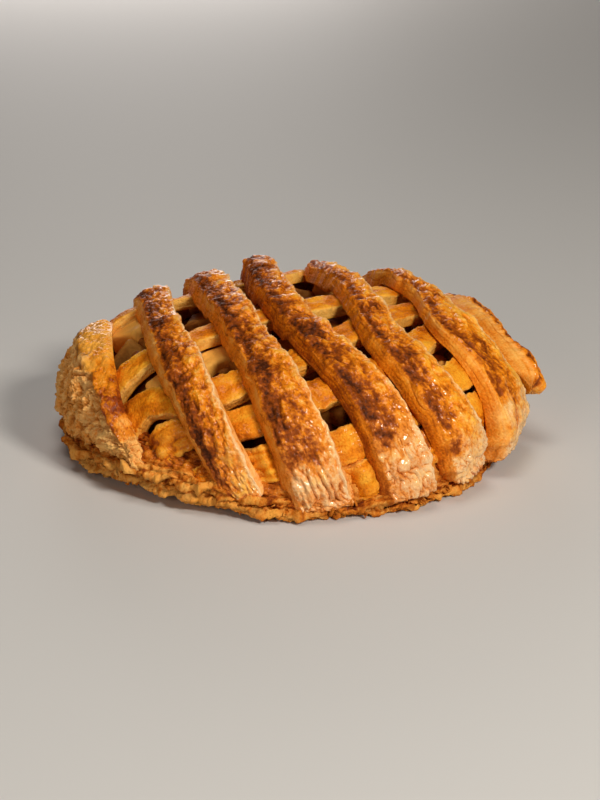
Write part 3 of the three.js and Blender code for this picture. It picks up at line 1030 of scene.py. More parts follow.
@dataclass
class UpperStrip(Strip):
    """Strip of the second layer: egg-washed, blistered and browned, with pale crackled ends."""

    bed: float = 4.5
    stack: float = 8.7
    top_wave: float = 0.35
    sag: float = 2.0
    top_sag: float = 1.0
    press: float = 2.6
    taper: float = 2.2
    taper_less: float = 0.25
    taper_reach: Span = (74.0, 84.0)
    swell_at: Span = (75.0, 9.0)
    tab_start: float = 0.78
    tab_free: float = 0.9
    foot_lift: float = 4.5
    puff_spread: float = 0.18
    leaf_depth: float = 0.18
    hills: Ripple = Ripple(11.0, 2)
    mottles: Ripple = Ripple(5.0, 4)
    pores: Ripple = Ripple(0.8)
    end_rag: float = 6.0
    end_ripple: Ripple = Ripple(6.0, 3)
    pale_run: float = 14.0
    fray: Span = (81.0, 84.5)
    flank_relief: Mix = Mix(leaf=1.0, hills=0.3, pores=0.08)
    edge_relief: float = 0.12
    seam_sway: float = 0.06
    # Flank browning: darker towards the foot as painted shade, and lighter on the right flank, the side
    # towards the key light, as painted light.
    left_brown: Mix = Mix(0.54, low=0.18)
    right_brown: float = 0.42
    # The groove weight darkens the grooves between leaves as painted shade.
    flank_brown: Mix = Mix(mottle=0.18, groove=0.08, seam=0.2, toast=0.5, flank=1.0)
    # Paler ridge along the right edge of the top: painted highlight.
    ridge_fade: float = 0.3
    scorch_share: Mix = Mix(0.3, top=0.7)
    # From here towards the back the tops grow paler: painted sheen.
    back_from: Span = (5.0, 50.0)
    # Pale bare dough: the right, edge and ridge weights are painted light on the right side, the back weight
    # is painted sheen, the others real pale pastry.
    bare: Mix = Mix(lip=0.08, right=0.25, brim=0.16, flank=-0.7, edge=0.25, ridge=0.45, back=0.3, fleck=0.22,
                    end=1.0)
    bare_fold: float = 0.55
    bare_face: Mix = Mix(flank=0.3, top=1.0)
    bare_scorch: Span = (1.6, 0.9)
    fray_pale: float = 0.8
    wash: Mix = Mix(0.8, mottle=0.4)
    end_wash: float = 1.5
    fray_dull: float = 0.7
    dark_dull: float = 0.9
    # Painted shade in the flank grooves.
    groove_shade: float = 0.1
    cap_round: float = 1.9
    bubbles: Ripple = Ripple(1.5)
    bubble_size: Mix = Mix(0.2, chance=0.8)
    blisters: Ripple = Ripple(0.8, 1, 5.0)
    broad: Ripple = Ripple(10.0, 2, 2.2)
    # Patches: the left and right weights darken the left of the top and lighten its right as painted shade
    # and light.
    patch: Mix = Mix(mottle=0.585, broad=1.04, lee=1.04, sunny=-0.78)
    rough: Mix = Mix(0.6, patch=0.4)
    calm_back: Span = (10.0, 55.0)
    front_arc: Span = (28.0, 58.0)
    calm: Mix = Mix(1.0, where=-0.5)
    wrinkles: Ripple = Ripple((2.0, 0.9, 5.0), 1, 12.7)
    swollen: Ripple = Ripple((5.5, 3.2, 5.0), 1, 4.4)
    glaze_relief: Mix = Mix(-0.4, hills=0.75, swollen=0.95, bubble=0.5, blister=0.3, wrinkle=0.4)
    specks: Ripple = Ripple(1.9, 3)
    flecks: Ripple = Ripple(1.1, 2, 3.1)
    bubble_level: Span = (0.2, 0.1)
    # The left weight is painted shade on the left of the top; the swollen, bubble and blister weights pale
    # the humps and brown the creases as painted light and shade.
    glaze_brown: Mix = Mix(0.812, patch=0.27, speck=0.24, fleck=-0.2, left=0.28, swollen=-0.4, bubble=-0.2,
                           blister=-0.14)
    bend: float = 1.1
    bend_ripple: Ripple = Ripple(4.5)
    folds: Ripple = Ripple((8.0, 1.5, 5.0))
    crinkles: Ripple = Ripple((2.8, 1.2, 5.0), 1, 3.3)
    creases: Ripple = Ripple((1.2, 0.6, 5.0), 1, 8.1)
    crackle_relief: Mix = Mix(-0.5, fold=1.9, crinkle=0.7, short=0.5, crease=0.25, hills=0.6)
    line_share: float = 0.7
    # Browning of the ends: the line and crease weights darken the creases as painted shade.
    crackle_brown: Mix = Mix(0.06, line=0.64, crease=0.2, mottle=0.34)
    crumbs: Ripple = Ripple((2.0, 2.0, 1.3))
    crumb_gap: Span = (0.2, 0.18)
    crumb_relief: Mix = Mix(0.32, chance=0.5, near=-0.4, gap=-0.3)
    # The line weight darkens the gaps between crumbs as painted shade.
    crumb_brown: Mix = Mix(0.22, chance=0.36, line=0.3)

    def half(self) -> Array:
        """Half the width, with a slow wave."""
        along = self.course.along
        return 0.5 * self.route.width(along) * (1.0 + self.width_wave * wobble(1.0 - along, self.number))

    def heights(self, half: Array, rise: Array) -> Array:
        """From the foot, which sags between the lower strips, to the risen top.

        Args:
            half: half the width at each station.
            rise: share of the thickness of each point.

        Returns:
            Height of each point over the bed.
        """
        along, arc, route = self.course.along, self.course.arc, self.route
        held = 0.0 if route.tab else 1.0
        sag = self.lattice.across(self.course, half, self.side, self.lattice.under)
        dip = self.lattice.clearance(self.course.place, self.lattice.under)
        top = self.stack + route.puff * bell(along, route.puff_at, self.puff_spread)
        top = top - self.top_sag * dip + self.top_wave * wobble(along, self.number)
        taper = held * self.taper * (1.0 - self.taper_less * route.drop)
        top = top - taper * smooth(arc, *self.taper_reach) + route.swell * bell(arc, *self.swell_at)
        lift = route.tab * smooth(along, self.tab_start, 1.0)
        free = (1.0 - held) * self.foot_lift * smooth(along, self.tab_free, 1.0)
        foot = self.bed - (self.sag + held * self.press * self.ending[:, None]) * sag + free[:, None]
        return lerp(foot, (top + lift)[:, None], rise)

    def baked(self) -> Tube:
        """Blistered glaze on top, layered flanks, and ends that wrinkle and crack down the wall.

        Returns:
            The strip's skin with its relief and its attributes.
        """
        grid, grain = self.rings.grid, self.grain
        top, flank, edge = (self.facing(face) for face in (Face.TOP, Face.FLANK, Face.EDGE))
        hills, mottle = grain.layered(grid, self.hills), grain.layered(grid, self.mottles)
        lean = self.aside / self.half()[:, None]
        glaze, browned, fleck = self.glazed(hills, mottle, lean)
        crackle, cracked, fold = self.crackled(hills, mottle)
        crumb, crumbed = self.frayed()
        leaf, groove, lip = self.leaves()
        held = 0.0 if self.route.tab else 1.0
        arc = self.course.arc[:, None] + self.end_rag * grain.layered(grid, self.end_ripple)
        start = self.route.pale_from
        end = held * smooth(arc, start, start + self.pale_run)
        fray = held * smooth(arc, *self.fray)
        layers = self.flank_relief.of(leaf=leaf, hills=hills, pores=grain.puffs(grid, self.pores))
        relief = top * lerp(glaze, crackle, end) + flank * layers + self.edge_relief * edge
        right = smooth(self.side, 0.2, 0.8)[None, :]
        # Right edge of the top, paler as a painted highlight where the light catches it.
        ridge = edge * smooth(lean, -0.4, 0.9)
        brown = lerp(self.flank_tone(hills, mottle, groove, right), lerp(browned, cracked, end), top)
        scorch = self.scorched() * self.scorch_share.of(top=top)
        brown = lerp(brown - self.ridge_fade * ridge + scorch, crumbed, fray)
        brim = bell(self.rise, 0.78, 0.06)[None, :] * (1.0 - right)
        hidden, most = self.bare_scorch
        shown = lerp(1.0, self.bare_fold, fold) * self.bare_face.of(flank=flank, top=top)
        shown = self.route.bare * shown * (1.0 - np.clip(hidden * scorch, 0.0, most))
        # Bare dough, with painted light on the right flank and edge and painted sheen on the back tops.
        bare = self.bare.of(
            lip=flank * lip, right=flank * right, brim=flank * brim, flank=flank * self.route.flank,
            edge=edge * right, ridge=ridge, back=top * smooth(grid[..., 1], *self.back_from),
            fleck=top * fleck, end=end * shown)
        gloss = top * lerp(self.wash.of(mottle=mottle), self.end_wash, end) * (1.0 - self.fray_dull * fray)
        tube = self.rings.raised(lerp(relief, crumb, fray) * self.shrink[:, None])
        tube.marks = {
            "brown": brown,
            "pale": np.clip(lerp(bare, self.fray_pale, fray), 0.0, 1.0),
            "gloss": gloss * (1.0 - self.dark_dull * smooth(brown, 0.5, 0.85)),
            "shade": self.groove_shade * flank * groove * (1.0 - fray),
        }
        return tube

    def flank_tone(self, hills: Array, mottle: Array, groove: Array, right: Array) -> Array:
        """Browning of the flanks: darker low on the left and in the grooves as painted shade, lighter on
        the right as painted light, with a brown seam.

        Args:
            hills: slow unevenness.
            mottle: patchy unevenness.
            groove: how deep each point lies between two leaves.
            right: share of each point that faces right.

        Returns:
            Browning of each point.
        """
        # Painted shade: darker towards the foot of the flank.
        low = 1.0 - smooth(self.rise, 0.1, 0.75)[None, :]
        seam = bell(self.rise[None, :] + self.seam_sway * hills, 0.7, 0.05)
        seam = seam * smooth(mottle, -0.2, 0.4)
        return lerp(self.left_brown.of(low=low), self.right_brown, right) + self.flank_brown.of(
            mottle=mottle, groove=groove, seam=seam, toast=self.route.toast, flank=self.route.flank)

    def glazed(self, hills: Array, mottle: Array, lean: Array) -> tuple[Array, Array, Array]:
        """The washed top: swollen patches with round bubbles and blisters, browner to the left as
        painted shade and lighter to the right as painted light, with painted highlights on the humps
        and painted shade in the creases between them.

        Args:
            hills: slow unevenness.
            mottle: patchy unevenness.
            lean: place across the strip, -1 to 1.

        Returns:
            Relief, browning and pale flecks of each point.
        """
        grid, grain, rolled = self.rings.grid, self.grain, self.sheet()
        near, _, chance = grain.cells(grid, self.bubbles)
        close, _, luck = grain.cells(grid, self.blisters)
        domes = (1.0 - self.cap_round * away**2 for away in (near, close))
        bubble, blister = (np.sqrt(np.clip(dome, 0.0, 1.0)) for dome in domes)
        bubble, blister = bubble * self.bubble_size.of(chance=chance), blister * luck
        broad = grain.layered(grid, self.broad)
        # Patches of browning, with painted shade on the left of the top and painted light on its right.
        patch = np.tanh(self.patch.of(
            mottle=mottle, broad=broad, lee=bell(lean, -0.7, 0.5), sunny=bell(lean, 0.7, 0.4)))
        rough = self.rough.of(patch=smooth(patch, -0.7, 0.3))
        front = smooth(self.course.arc, *self.front_arc)[:, None]
        calm = rough * self.calm.of(where=smooth(grid[..., 1], *self.calm_back)) * self.calm.of(where=front)
        swollen = grain.puffs(rolled, self.swollen)
        relief = self.glaze_relief.of(
            hills=hills, swollen=swollen, bubble=calm * bubble, blister=calm * blister,
            wrinkle=front * grain.puffs(rolled, self.wrinkles))
        fleck = smooth(grain.layered(grid, self.flecks), 0.05, 0.45)
        usual, usual_blister = self.bubble_level
        # Humps of bubbles and blisters paler and creases browner: painted light and shade.
        brown = self.glaze_brown.of(
            patch=patch, speck=grain.layered(grid, self.specks), fleck=fleck,
            left=bell(lean, -0.75, 0.3), swollen=swollen, bubble=rough * (bubble - usual),
            blister=rough * (blister - usual_blister))
        return relief, brown + self.route.toast, fleck

    def crackled(self, hills: Array, mottle: Array) -> tuple[Array, Array, Array]:
        """An end: skin in cracked cells, or in long folds down the wall.

        Args:
            hills: slow unevenness.
            mottle: patchy unevenness.

        Returns:
            Relief, browning with painted shade in the creases, and the crease lines of each point.
        """
        grain, long = self.grain, self.route.wrinkle
        sway = self.bend * grain.layered(self.rings.grid, self.bend_ripple)
        bent = self.sheet() + points_of(0.0, sway, 0.0)
        ripples = (self.folds, self.crinkles, self.creases)
        fold, crinkle, crease = (grain.puffs(bent, ripple) for ripple in ripples)
        relief = self.crackle_relief.of(
            fold=long * fold, crinkle=crinkle, short=(1.0 - long) * crinkle, crease=crease, hills=hills)
        # Creases, browner as painted shade.
        line = 1.0 - smooth(lerp(crinkle, fold, self.line_share * long), 0.0, 0.26)
        cracked = 1.0 - smooth(crease, 0.0, 0.2)
        brown = self.crackle_brown.of(line=line, crease=cracked, mottle=mottle)
        return relief, brown + self.route.toast, np.clip(line - mottle, 0.0, 1.0)

    def frayed(self) -> tuple[Array, Array]:
        """The foot of an end: coarse crumbs of torn layers.

        Returns:
            Relief, and browning with painted shade in the gaps between crumbs, of each point.
        """
        near, border, chance = self.grain.cells(self.rings.grid, self.crumbs)
        gap, line = (1.0 - smooth(border, 0.0, width) for width in self.crumb_gap)
        relief = self.crumb_relief.of(chance=chance, near=near, gap=gap)
        return relief, self.crumb_brown.of(chance=chance, line=line)


@dataclass
class SideStrip:
    """Left strip: from its inner edge over the shoulder, and down the side as a crumpled wall."""

    lattice: Lattice
    name: str = "upper_strip_1"
    seed: int = 5
    wobble_number: int = 6
    stations: int = 300
    across: int = 170
    under: int = 10
    inner: float = 3.0
    cap: float = 2.0
    cap_rings: int = 7
    cap_out: float = 6.0
    swell_wave: float = 0.05
    flake_size: float = 0.7
    flake_waves: Span = (10.0, 2.5)
    flake_from: float = 0.35
    flake_to: float = 0.9
    over_top: tuple[Span, ...] = (
        (0.0, 6.2), (0.05, 8.2), (0.12, 9.3), (0.19, 10.4), (0.235, 11.0), (0.28, 10.4), (0.42, 10.3),
        (0.6, 10.2), (0.74, 9.2), (0.87, 7.6), (0.95, 6.4), (1.0, 5.2))
    short: float = 4.5
    under_out: float = 4.7
    drop: float = 45.0
    rags: Ripple = Ripple(6.0, 3)
    mottles: Ripple = Ripple(5.0, 4)
    pores: Ripple = Ripple(0.8)
    border_rag: Triple = (0.05, 0.06, 0.1)
    fold_run: Mix = Mix(along=130.0, down=0.45, rag=2.5)
    fold_fall: Mix = Mix(down=1.0, mottle=2.0)
    folds: Ripple = Ripple((8.0, 26.0, 9.0))
    creases: Ripple = Ripple((3.6, 12.0, 9.0), 1, 6.0)
    tucks: Ripple = Ripple((1.7, 4.5, 9.0), 1, 2.0)
    crumbs: Ripple = Ripple((1.9, 1.9, 1.4))
    lumps: Ripple = Ripple(15.0, 1, 4.7)
    hills: Ripple = Ripple(9.0, 2)
    bubbles: Ripple = Ripple(2.6)
    wall_relief: Mix = Mix(-2.3, lumps=1.6, folds=2.1, creases=1.7, tucks=1.0, pores=0.5)
    low_relief: Mix = Mix(-1.8, lumps=1.6, folds=1.4, creases=1.2, tucks=1.2, pores=0.5, tint=0.4,
                          chink=-0.2)
    glaze_relief: Mix = Mix(0.32, hills=0.5, bubbles=0.5, pores=0.14, near=-0.4)
    outer_calm: float = 0.5
    glaze_brown: Mix = Mix(0.17, mottle=0.3, front=0.78, back=0.06, tint=-0.3)
    # Wall browning: the crack and tuck weights darken the creases and tucks as painted shade.
    wall_brown: Mix = Mix(0.27, tip=-0.38, mottle=0.26, crack=0.3, tuck=0.26, pores=-0.2, tint=0.2)
    # The back weight pales the back of the strip slightly as painted sheen.
    pale: Mix = Mix(wall=0.85, low=-0.25, back=0.05)
    gloss: Mix = Mix(0.8, wall=-0.8, mottle=0.1)
    # Painted shade in the creases, and a real scorched line along the border.
    shade: Mix = Mix(crack=0.3, scorch=0.7)
    darkest: float = 0.8

    def laid(self) -> tuple[Tube, Array, Array]:
        """Plain strip: heights over the bed along lines from the inner edge out to the rim.

        Returns:
            The skin, each point's share of the way to the rim, and each ring's share along.
        """
        dome, route = self.lattice.dome, self.lattice.side
        length = Course.over(dome, route, np.linspace(0.0, 1.0, 3)).length
        turn = np.linspace(0.0, math.pi / 2, self.cap_rings + 1)[1:]
        tip = self.cap * (1.0 - np.cos(turn)) / length
        body = np.linspace(tip[-1], 1.0 - tip[-1], self.stations)[1:-1]
        along = np.concatenate([tip, body, 1.0 - tip[::-1]])
        shrink = np.concatenate([np.sin(turn), np.ones(len(body)), np.sin(turn[::-1])])[:, None]
        course = Course.over(dome, route, along)
        back = np.linspace(1.0, 0.0, self.under + 2)[1:-1]
        share = np.concatenate([np.linspace(0.0, 1.0, self.across), back])
        curve = spline(self.over_top, CURVE_STEPS)
        swell = 1.0 + self.swell_wave * wobble(along, self.wobble_number)
        out = np.interp(share, curve[:, 0], curve[:, 1])[None, :] * swell[:, None]
        ridge = np.sin(2 * math.pi * (self.flake_waves[0] * along[:, None] + self.flake_waves[1] * share))
        flake = ridge * smooth(share, self.flake_from, 1.0) * (1.0 - smooth(share, self.flake_to, 1.0))
        top = np.arange(len(share)) < self.across
        out = np.where(top, out + self.flake_size * flake, self.under_out)
        edge = course.place + course.aside * self.inner
        reach = dome.end_arc - self.short * smooth(along, 0.4, 0.75)
        rim = course.place * (np.maximum(reach, course.arc + self.inner) / course.arc)[:, None]
        flat = lerp(edge[:, None, :], rim[:, None, :], share[None, :, None])
        skin = Tube(dome.at(flat, lerp(self.cap_out, out, shrink)))
        return skin, np.where(top, share, 1.0)[None, :], along[:, None]

    def build(self, finish: Material) -> Object:
        """Makes the piece: golden glaze along the inner slope, crumpled pale layers on the wall.

        The wall's folds are long humps that slant down it, with finer creases and tucks between
        them that are painted darker as shade, and break into crumbs low down. A ragged border parts
        the wall from the slope, with a scorched line along it, and the back of the strip is a little
        paler as painted sheen.

        Args:
            finish: its material.

        Returns:
            The new object.
        """
        tube, share, along = self.laid()
        grid, grain = tube.grid, Grain(self.seed)
        rag, mottle = grain.layered(grid, self.rags), grain.layered(grid, self.mottles)
        little, some, much = (amount * rag for amount in self.border_rag)
        front, back = smooth(along + some, 0.58, 0.82), 1.0 - smooth(along + little, 0.2, 0.36)
        wall = np.maximum(smooth(share + some, 0.21, 0.27), smooth(along + little, 0.84, 0.93))
        low = np.maximum(smooth(share + much, 0.66, 0.86), smooth(along + little, 0.8, 0.9))
        down = self.drop * share
        fold_run = self.fold_run.of(along=along, down=down, rag=rag)
        bent = points_of(fold_run, self.fold_fall.of(down=down, mottle=mottle), 0.0)
        creases, tucks = grain.puffs(bent, self.creases), grain.puffs(bent, self.tucks)
        near, gap, tint = grain.cells(grid, self.crumbs)
        pores = grain.puffs(grid, self.pores)
        shared = {"lumps": grain.layered(grid, self.lumps), "folds": grain.crests(bent, self.folds),
                  "creases": creases, "tucks": tucks, "pores": pores}
        crumbly = self.low_relief.of(tint=tint, chink=1.0 - smooth(gap, 0.0, 0.22), **shared)
        hills, bubbles = grain.layered(grid, self.hills), grain.puffs(grid, self.bubbles)
        glaze = self.glaze_relief.of(hills=hills, bubbles=bubbles, pores=pores, near=near)
        edges = smooth(share, 0.0, 0.04) * (1.0 - self.outer_calm * smooth(share, 0.95, 1.0))
        tube = tube.raised(lerp(glaze, lerp(self.wall_relief.of(**shared), crumbly, low), wall) * edges)
        # Creases and tucks of the wall, painted darker as shade.
        crack, tuck = (1.0 - smooth(part, 0.0, 0.3) for part in (creases, tucks))
        slope_brown = self.glaze_brown.of(mottle=mottle, front=front, back=back, tint=tint)
        wall_brown = self.wall_brown.of(
            tip=smooth(along, 0.74, 0.86), mottle=mottle, crack=crack, tuck=tuck, pores=pores,
            tint=low * (tint - 0.5))
        # A scorched line along the border between slope and wall.
        scorch = bell(share + some, 0.24, 0.022) * smooth(mottle, -0.4, 0.2)
        scorch = scorch * smooth(along, 0.16, 0.3) * (1.0 - smooth(along, 0.66, 0.8))
        tube.marks = {
            "brown": lerp(slope_brown, wall_brown, wall),
            "pale": np.clip(self.pale.of(wall=wall, low=low * wall, back=back), 0.0, 1.0),
            "gloss": np.clip(self.gloss.of(wall=wall, mottle=mottle), 0.0, 1.0),
            "shade": np.clip(self.shade.of(crack=wall * crack, scorch=scorch), 0.0, self.darkest),
        }
        return tube.skin().piece(f"{self.name}_pastry", finish, Slot.UPPER, self.name)


@dataclass
class BaseCrust:
    """Base: a flat round with a torn rim of flaky layers and a skirt up between the strips."""

    dome: Dome
    name: str = "base_crust"
    seed: int = 3
    around: int = 1000
    flange_top: float = 3.6
    floor_top: float = 3.4
    dish_arc: float = 76.0
    dish_wall: float = 3.9
    dish_slope: float = 0.6
    rings_below: tuple[float, ...] = (12.0, 36.0, 50.0)
    rings_inside: tuple[float, ...] = (40.0, 12.0)
    rim_start: tuple[float, ...] = (0.0, 4.0, 8.0)
    rim_from: float = 10.0
    rows: int = 86
    tear_reach: float = 5.0
    layer_shift: float = 1.7
    tears: tuple[tuple[int, float, float], ...] = (
        (3, 0.7, 0.4), (7, 0.6, 1.9), (13, 0.6, 4.1), (29, 0.5, 2.2))
    rim_outline: tuple[Span, ...] = (
        (-15.0, 0.0), (-8.0, 0.05), (-4.0, 0.2), (-0.9, 0.45), (0.2, 1.0), (0.3, 1.8), (-0.8, 2.5),
        (0.0, 3.1), (-0.8, 4.4))
    skirt: tuple[Span, ...] = (
        (84.0, 5.4), (82.0, 5.0), (79.5, 4.5), (77.0, 3.9), (74.5, 3.0), (73.2, 1.0))
    thick: Swell = Swell(3.2, -132, 30)
    thick_from: Span = (0.4, 3.5)
    thick_to: Span = (6.0, 14.0)
    thick_out: float = 0.4
    fair: Swell = Swell(1.0, -64, 32)
    torn: Swell = Swell(1.0, -140, 34)
    mottles: Ripple = Ripple(6.0, 4)
    pores: Ripple = Ripple(0.8)
    bend: float = 1.2
    bend_ripple: Ripple = Ripple(8.0)
    layer: float = 1.7
    layer_length: float = 15.0
    stands: Ripple = Ripple(1.0, 3)
    jags: Ripple = Ripple(1.0, 3, 2.7)
    jag_stretch: Triple = (3.4, 3.4, 1.0)
    crumbs: Ripple = Ripple((1.9, 1.9, 1.3))
    patches: Ripple = Ripple(9.0, 2, 9.0)
    tatters: Ripple = Ripple((8.0, 8.0, 1.7), 1, 4.0)
    shreds: Ripple = Ripple((3.0, 3.0, 0.9), 1, 8.0)
    line_width: Span = (0.0, 0.25)
    folds: Ripple = Ripple((6.0, 6.0, 14.0))
    pleats: Ripple = Ripple((1.8, 1.8, 4.0))
    dimples: Ripple = Ripple(2.0, 2)
    crisps: Ripple = Ripple(1.5, 3, 6.0)
    wall_from: Span = (4.5, 8.0)
    band: Span = (2.1, 2.5)
    band_sway: float = 0.3
    band_loose: float = 0.7
    band_calm: float = 0.5
    # The notch is a line painted darker as shade in the groove of the rim.
    notch_at: Span = (2.55, 0.22)
    notch_sway: float = 0.25
    notch_share: Mix = Mix(0.3, left=0.7)
    ground: Span = (0.15, 1.1)
    ragged_relief: Mix = Mix(-0.6, tatter=1.6, shred=0.9)
    crumb_relief: Mix = Mix(-0.09, tint=0.4, near=-0.2, chink=-0.15)
    rim_relief: Mix = Mix(stand=1.6, jag=1.3, crack=-0.6, ragged=1.0, loose=1.0)
    skirt_relief: Mix = Mix(-1.0, folds=1.2, pleats=0.5, dimples=0.3, torn=1.0)
    torn_relief: Mix = Mix(-0.7, tint=0.4, tatter=1.4, shred=0.8, chink=-0.3)
    grit: Mix = Mix(pores=0.2, crisp=0.65)
    # Creases of tatters and shreds, painted darker as shade.
    line_brown: Mix = Mix(tatter=0.36, shred=0.24)
    line_mean: Span = (0.16, 0.1)
    # Rim browning: the chink weight darkens the gaps between crumbs and the line weight the creases, as
    # painted shade.
    rim_brown: Mix = Mix(0.62, band=-0.2, fair=-0.14, left=-0.28, mottle=0.36, crisp=0.42, stand=-0.3,
                         loose=0.24, chink=0.16, line=1.0)
    # Skirt browning: the folds weight pales the crests and darkens the hollows of the folds as painted light
    # and shade.
    skirt_brown: Mix = Mix(0.8, fair=-0.3, mottle=0.26, folds=-0.4, line=1.0)
    rim_pale: Mix = Mix(0.36, fair=0.2, left=0.45, mottle=0.5)
    skirt_pale: Mix = Mix(0.1, fair=0.5, mottle=0.5)
    gloss: Mix = Mix(0.1, wall=0.6, mottle=0.2)
    # Painted shade in the cracks between layers and in the notch.
    shade: Mix = Mix(crack=0.5, notch=0.5)
    darkest: float = 0.8

    def profile(self) -> tuple[Array, Array, Array]:
        """Outline from the middle of the underside, round the rim, up the skirt and into the dish.

        Returns:
            Radius and height of each row, and the share of each that is open crust, as columns.
        """
        rim = np.array(self.rim_outline) + np.array([self.dome.rim_radius, 0.0])
        skirt = np.stack(self.dome.outline(*np.array(self.skirt).T), axis=-1)
        fine = spline(np.concatenate([rim, skirt]), CURVE_STEPS)
        run = run_of(fine)
        outer = np.concatenate([self.rim_start, np.linspace(self.rim_from, run[-1], self.rows)])
        shown = np.stack([np.interp(outer, run, fine[:, k]) for k in (0, 1)], axis=-1)
        below = np.array([[radius, 0.0] for radius in self.rings_below])
        lip = np.stack(self.dome.outline(np.array(self.dish_arc), -self.dish_wall))
        floor = [[radius, self.floor_top] for radius in (lip[0] - self.dish_slope, *self.rings_inside)]
        rows = np.concatenate([below, shown, [lip], floor])
        hidden = len(below) + len(self.rim_start)
        open_ = np.concatenate([np.zeros(hidden), np.ones(self.rows), np.zeros(len(floor) + 1)])
        return rows[:, :1], rows[:, 1:], open_[:, None]

    def formed(self) -> tuple[Tube, Array, Array, Array]:
        """The outline turned round the axis, torn in waves at the rim and thicker in one place.

        Returns:
            The skin, the angle of each column, the height of each row and its share of open crust.
        """
        radius, height, open_ = self.profile()
        angle = np.linspace(0.0, 2.0 * math.pi, self.around, endpoint=False)[None, :]
        upper = np.where(height > self.flange_top / 2, self.layer_shift, 0.0)
        tear = sum(size * np.sin(count * angle + phase + upper) for count, size, phase in self.tears)
        share = smooth(radius, self.dome.rim_radius - self.tear_reach, self.dome.rim_radius) * open_
        rise = smooth(height, *self.thick_from) * (1.0 - smooth(height, *self.thick_to)) * open_
        rise = self.thick.share(angle) * rise
        radius = radius + share * (tear - self.dome.narrow.share(angle)) + self.thick_out * rise
        return Tube(self.dome.turned(angle, radius, height + rise)), angle, height, open_

    def build(self, finish: Material) -> Object:
        """Makes the piece: torn and layered at the rim, crumbly up the skirt, flat underneath.

        At the rim the height is cut into layers that each stand out by their own noise, with
        tatters, shreds and crumbs on them. The skirt above hangs in folds. The cracks between layers,
        the rim's notch, the gaps between crumbs and the creases of tatters, shreds and folds are painted
        darker as shade, and the crests of the folds paler as painted light.

        Args:
            finish: its material.

        Returns:
            The new object.
        """
        tube, angle, height, open_ = self.formed()
        grid, grain = tube.grid, Grain(self.seed)
        left, fair = self.torn.share(angle), self.fair.share(angle)
        mottle, crisp = grain.layered(grid, self.mottles), grain.layered(grid, self.crisps)
        wall = smooth(height + mottle, *self.wall_from)
        band = 1.0 - smooth(height + self.band_sway * mottle, *self.band)
        calm = 1.0 - self.band_calm * band
        bent = grid + points_of(0.0, 0.0, self.bend * grain.layered(grid, self.bend_ripple))
        level = bent[..., 2] / self.layer
        layer = np.floor(level)
        x, y = (grid[..., k] / self.layer_length for k in (0, 1))
        spot = points_of(x, y, layer * LAYER_APART)
        stand = grain.layered(spot, self.stands)
        jag = grain.layered(spot * np.array(self.jag_stretch), self.jags)
        # Cracks between layers: carved into the relief and painted darker as shade.
        crack = bell(np.abs(level - layer - 0.5), 0.5, 0.12) * smooth(stand, -0.5, 0.1)
        near, gap, tint = grain.cells(grid, self.crumbs)
        chink = 1.0 - smooth(gap, 0.0, 0.2)
        loose = smooth(grain.layered(grid, self.patches), -0.4, 0.1) * (1.0 - self.band_loose * band)
        tatter, shred = grain.puffs(bent, self.tatters), grain.puffs(bent, self.shreds)
        folds = grain.crests(grid, self.folds)
        crumbly = loose * self.crumb_relief.of(tint=tint, near=near, chink=chink)
        ragged = calm * self.ragged_relief.of(tatter=tatter, shred=shred)
        rim = self.rim_relief.of(stand=stand, jag=jag, crack=crack, ragged=ragged, loose=crumbly)
        torn = left * self.torn_relief.of(tint=tint, tatter=tatter, shred=shred, chink=chink)
        pleats, dimples = grain.crests(grid, self.pleats), grain.layered(grid, self.dimples)
        skirt = self.skirt_relief.of(folds=folds, pleats=pleats, dimples=dimples, torn=torn)
        grit = self.grit.of(pores=grain.puffs(grid, self.pores), crisp=crisp)
        tube = tube.raised((lerp(rim, skirt, wall) + grit) * open_ * smooth(height, *self.ground))
        tube.grid[..., 2] = np.maximum(tube.grid[..., 2], 0.0)
        # Creases of tatters and shreds, painted darker as shade.
        line = self.line_brown.of(
            tatter=1.0 - smooth(tatter, *self.line_width), shred=1.0 - smooth(shred, *self.line_width))
        # Rim browning, with painted shade in the gaps between crumbs and in the creases.
        rim_brown = self.rim_brown.of(
            band=band, fair=fair, left=left, mottle=mottle, crisp=crisp, stand=stand,
            loose=loose * (tint - 0.5), chink=loose * chink, line=calm * (line - self.line_mean[0]))
        # Skirt browning: fold hollows painted darker as shade, crests paler as painted light.
        skirt_brown = self.skirt_brown.of(
            fair=fair, mottle=mottle, folds=folds, line=left * (line - self.line_mean[1]))
        rim_pale = self.rim_pale.of(fair=fair, left=left, mottle=mottle)
        # Groove of the rim, painted darker as shade.
        notch = bell(height + self.notch_sway * mottle, *self.notch_at) * self.notch_share.of(left=left)
        shade = self.shade.of(crack=(1.0 - wall) * crack, notch=notch) * open_
        tube.marks = {
            "brown": lerp(rim_brown, skirt_brown, wall),
            "pale": np.clip(lerp(rim_pale, self.skirt_pale.of(fair=fair, mottle=mottle), wall), 0.0, 1.0),
            "gloss": np.clip(self.gloss.of(wall=wall, mottle=mottle), 0.0, 1.0),
            "shade": np.clip(shade, 0.0, self.darkest),
        }
        return tube.skin().piece("base_crust_pastry", finish, Slot.BASE, self.name)


def ball(rings: int, sides: int) -> tuple[Array, Array]:
    """Angles of a ball's rings and of the points round each, without the two poles.

    Args:
        rings: number of rings between the poles.
        sides: points round each ring.

    Returns:
        Latitude of each ring as a column, and turn of each point as a row.
    """
    lat = np.linspace(-1.0, 1.0, rings + 2)[1:-1, None] * math.pi / 2
    return lat, np.linspace(0.0, 2.0 * math.pi, sides, endpoint=False)[None, :]


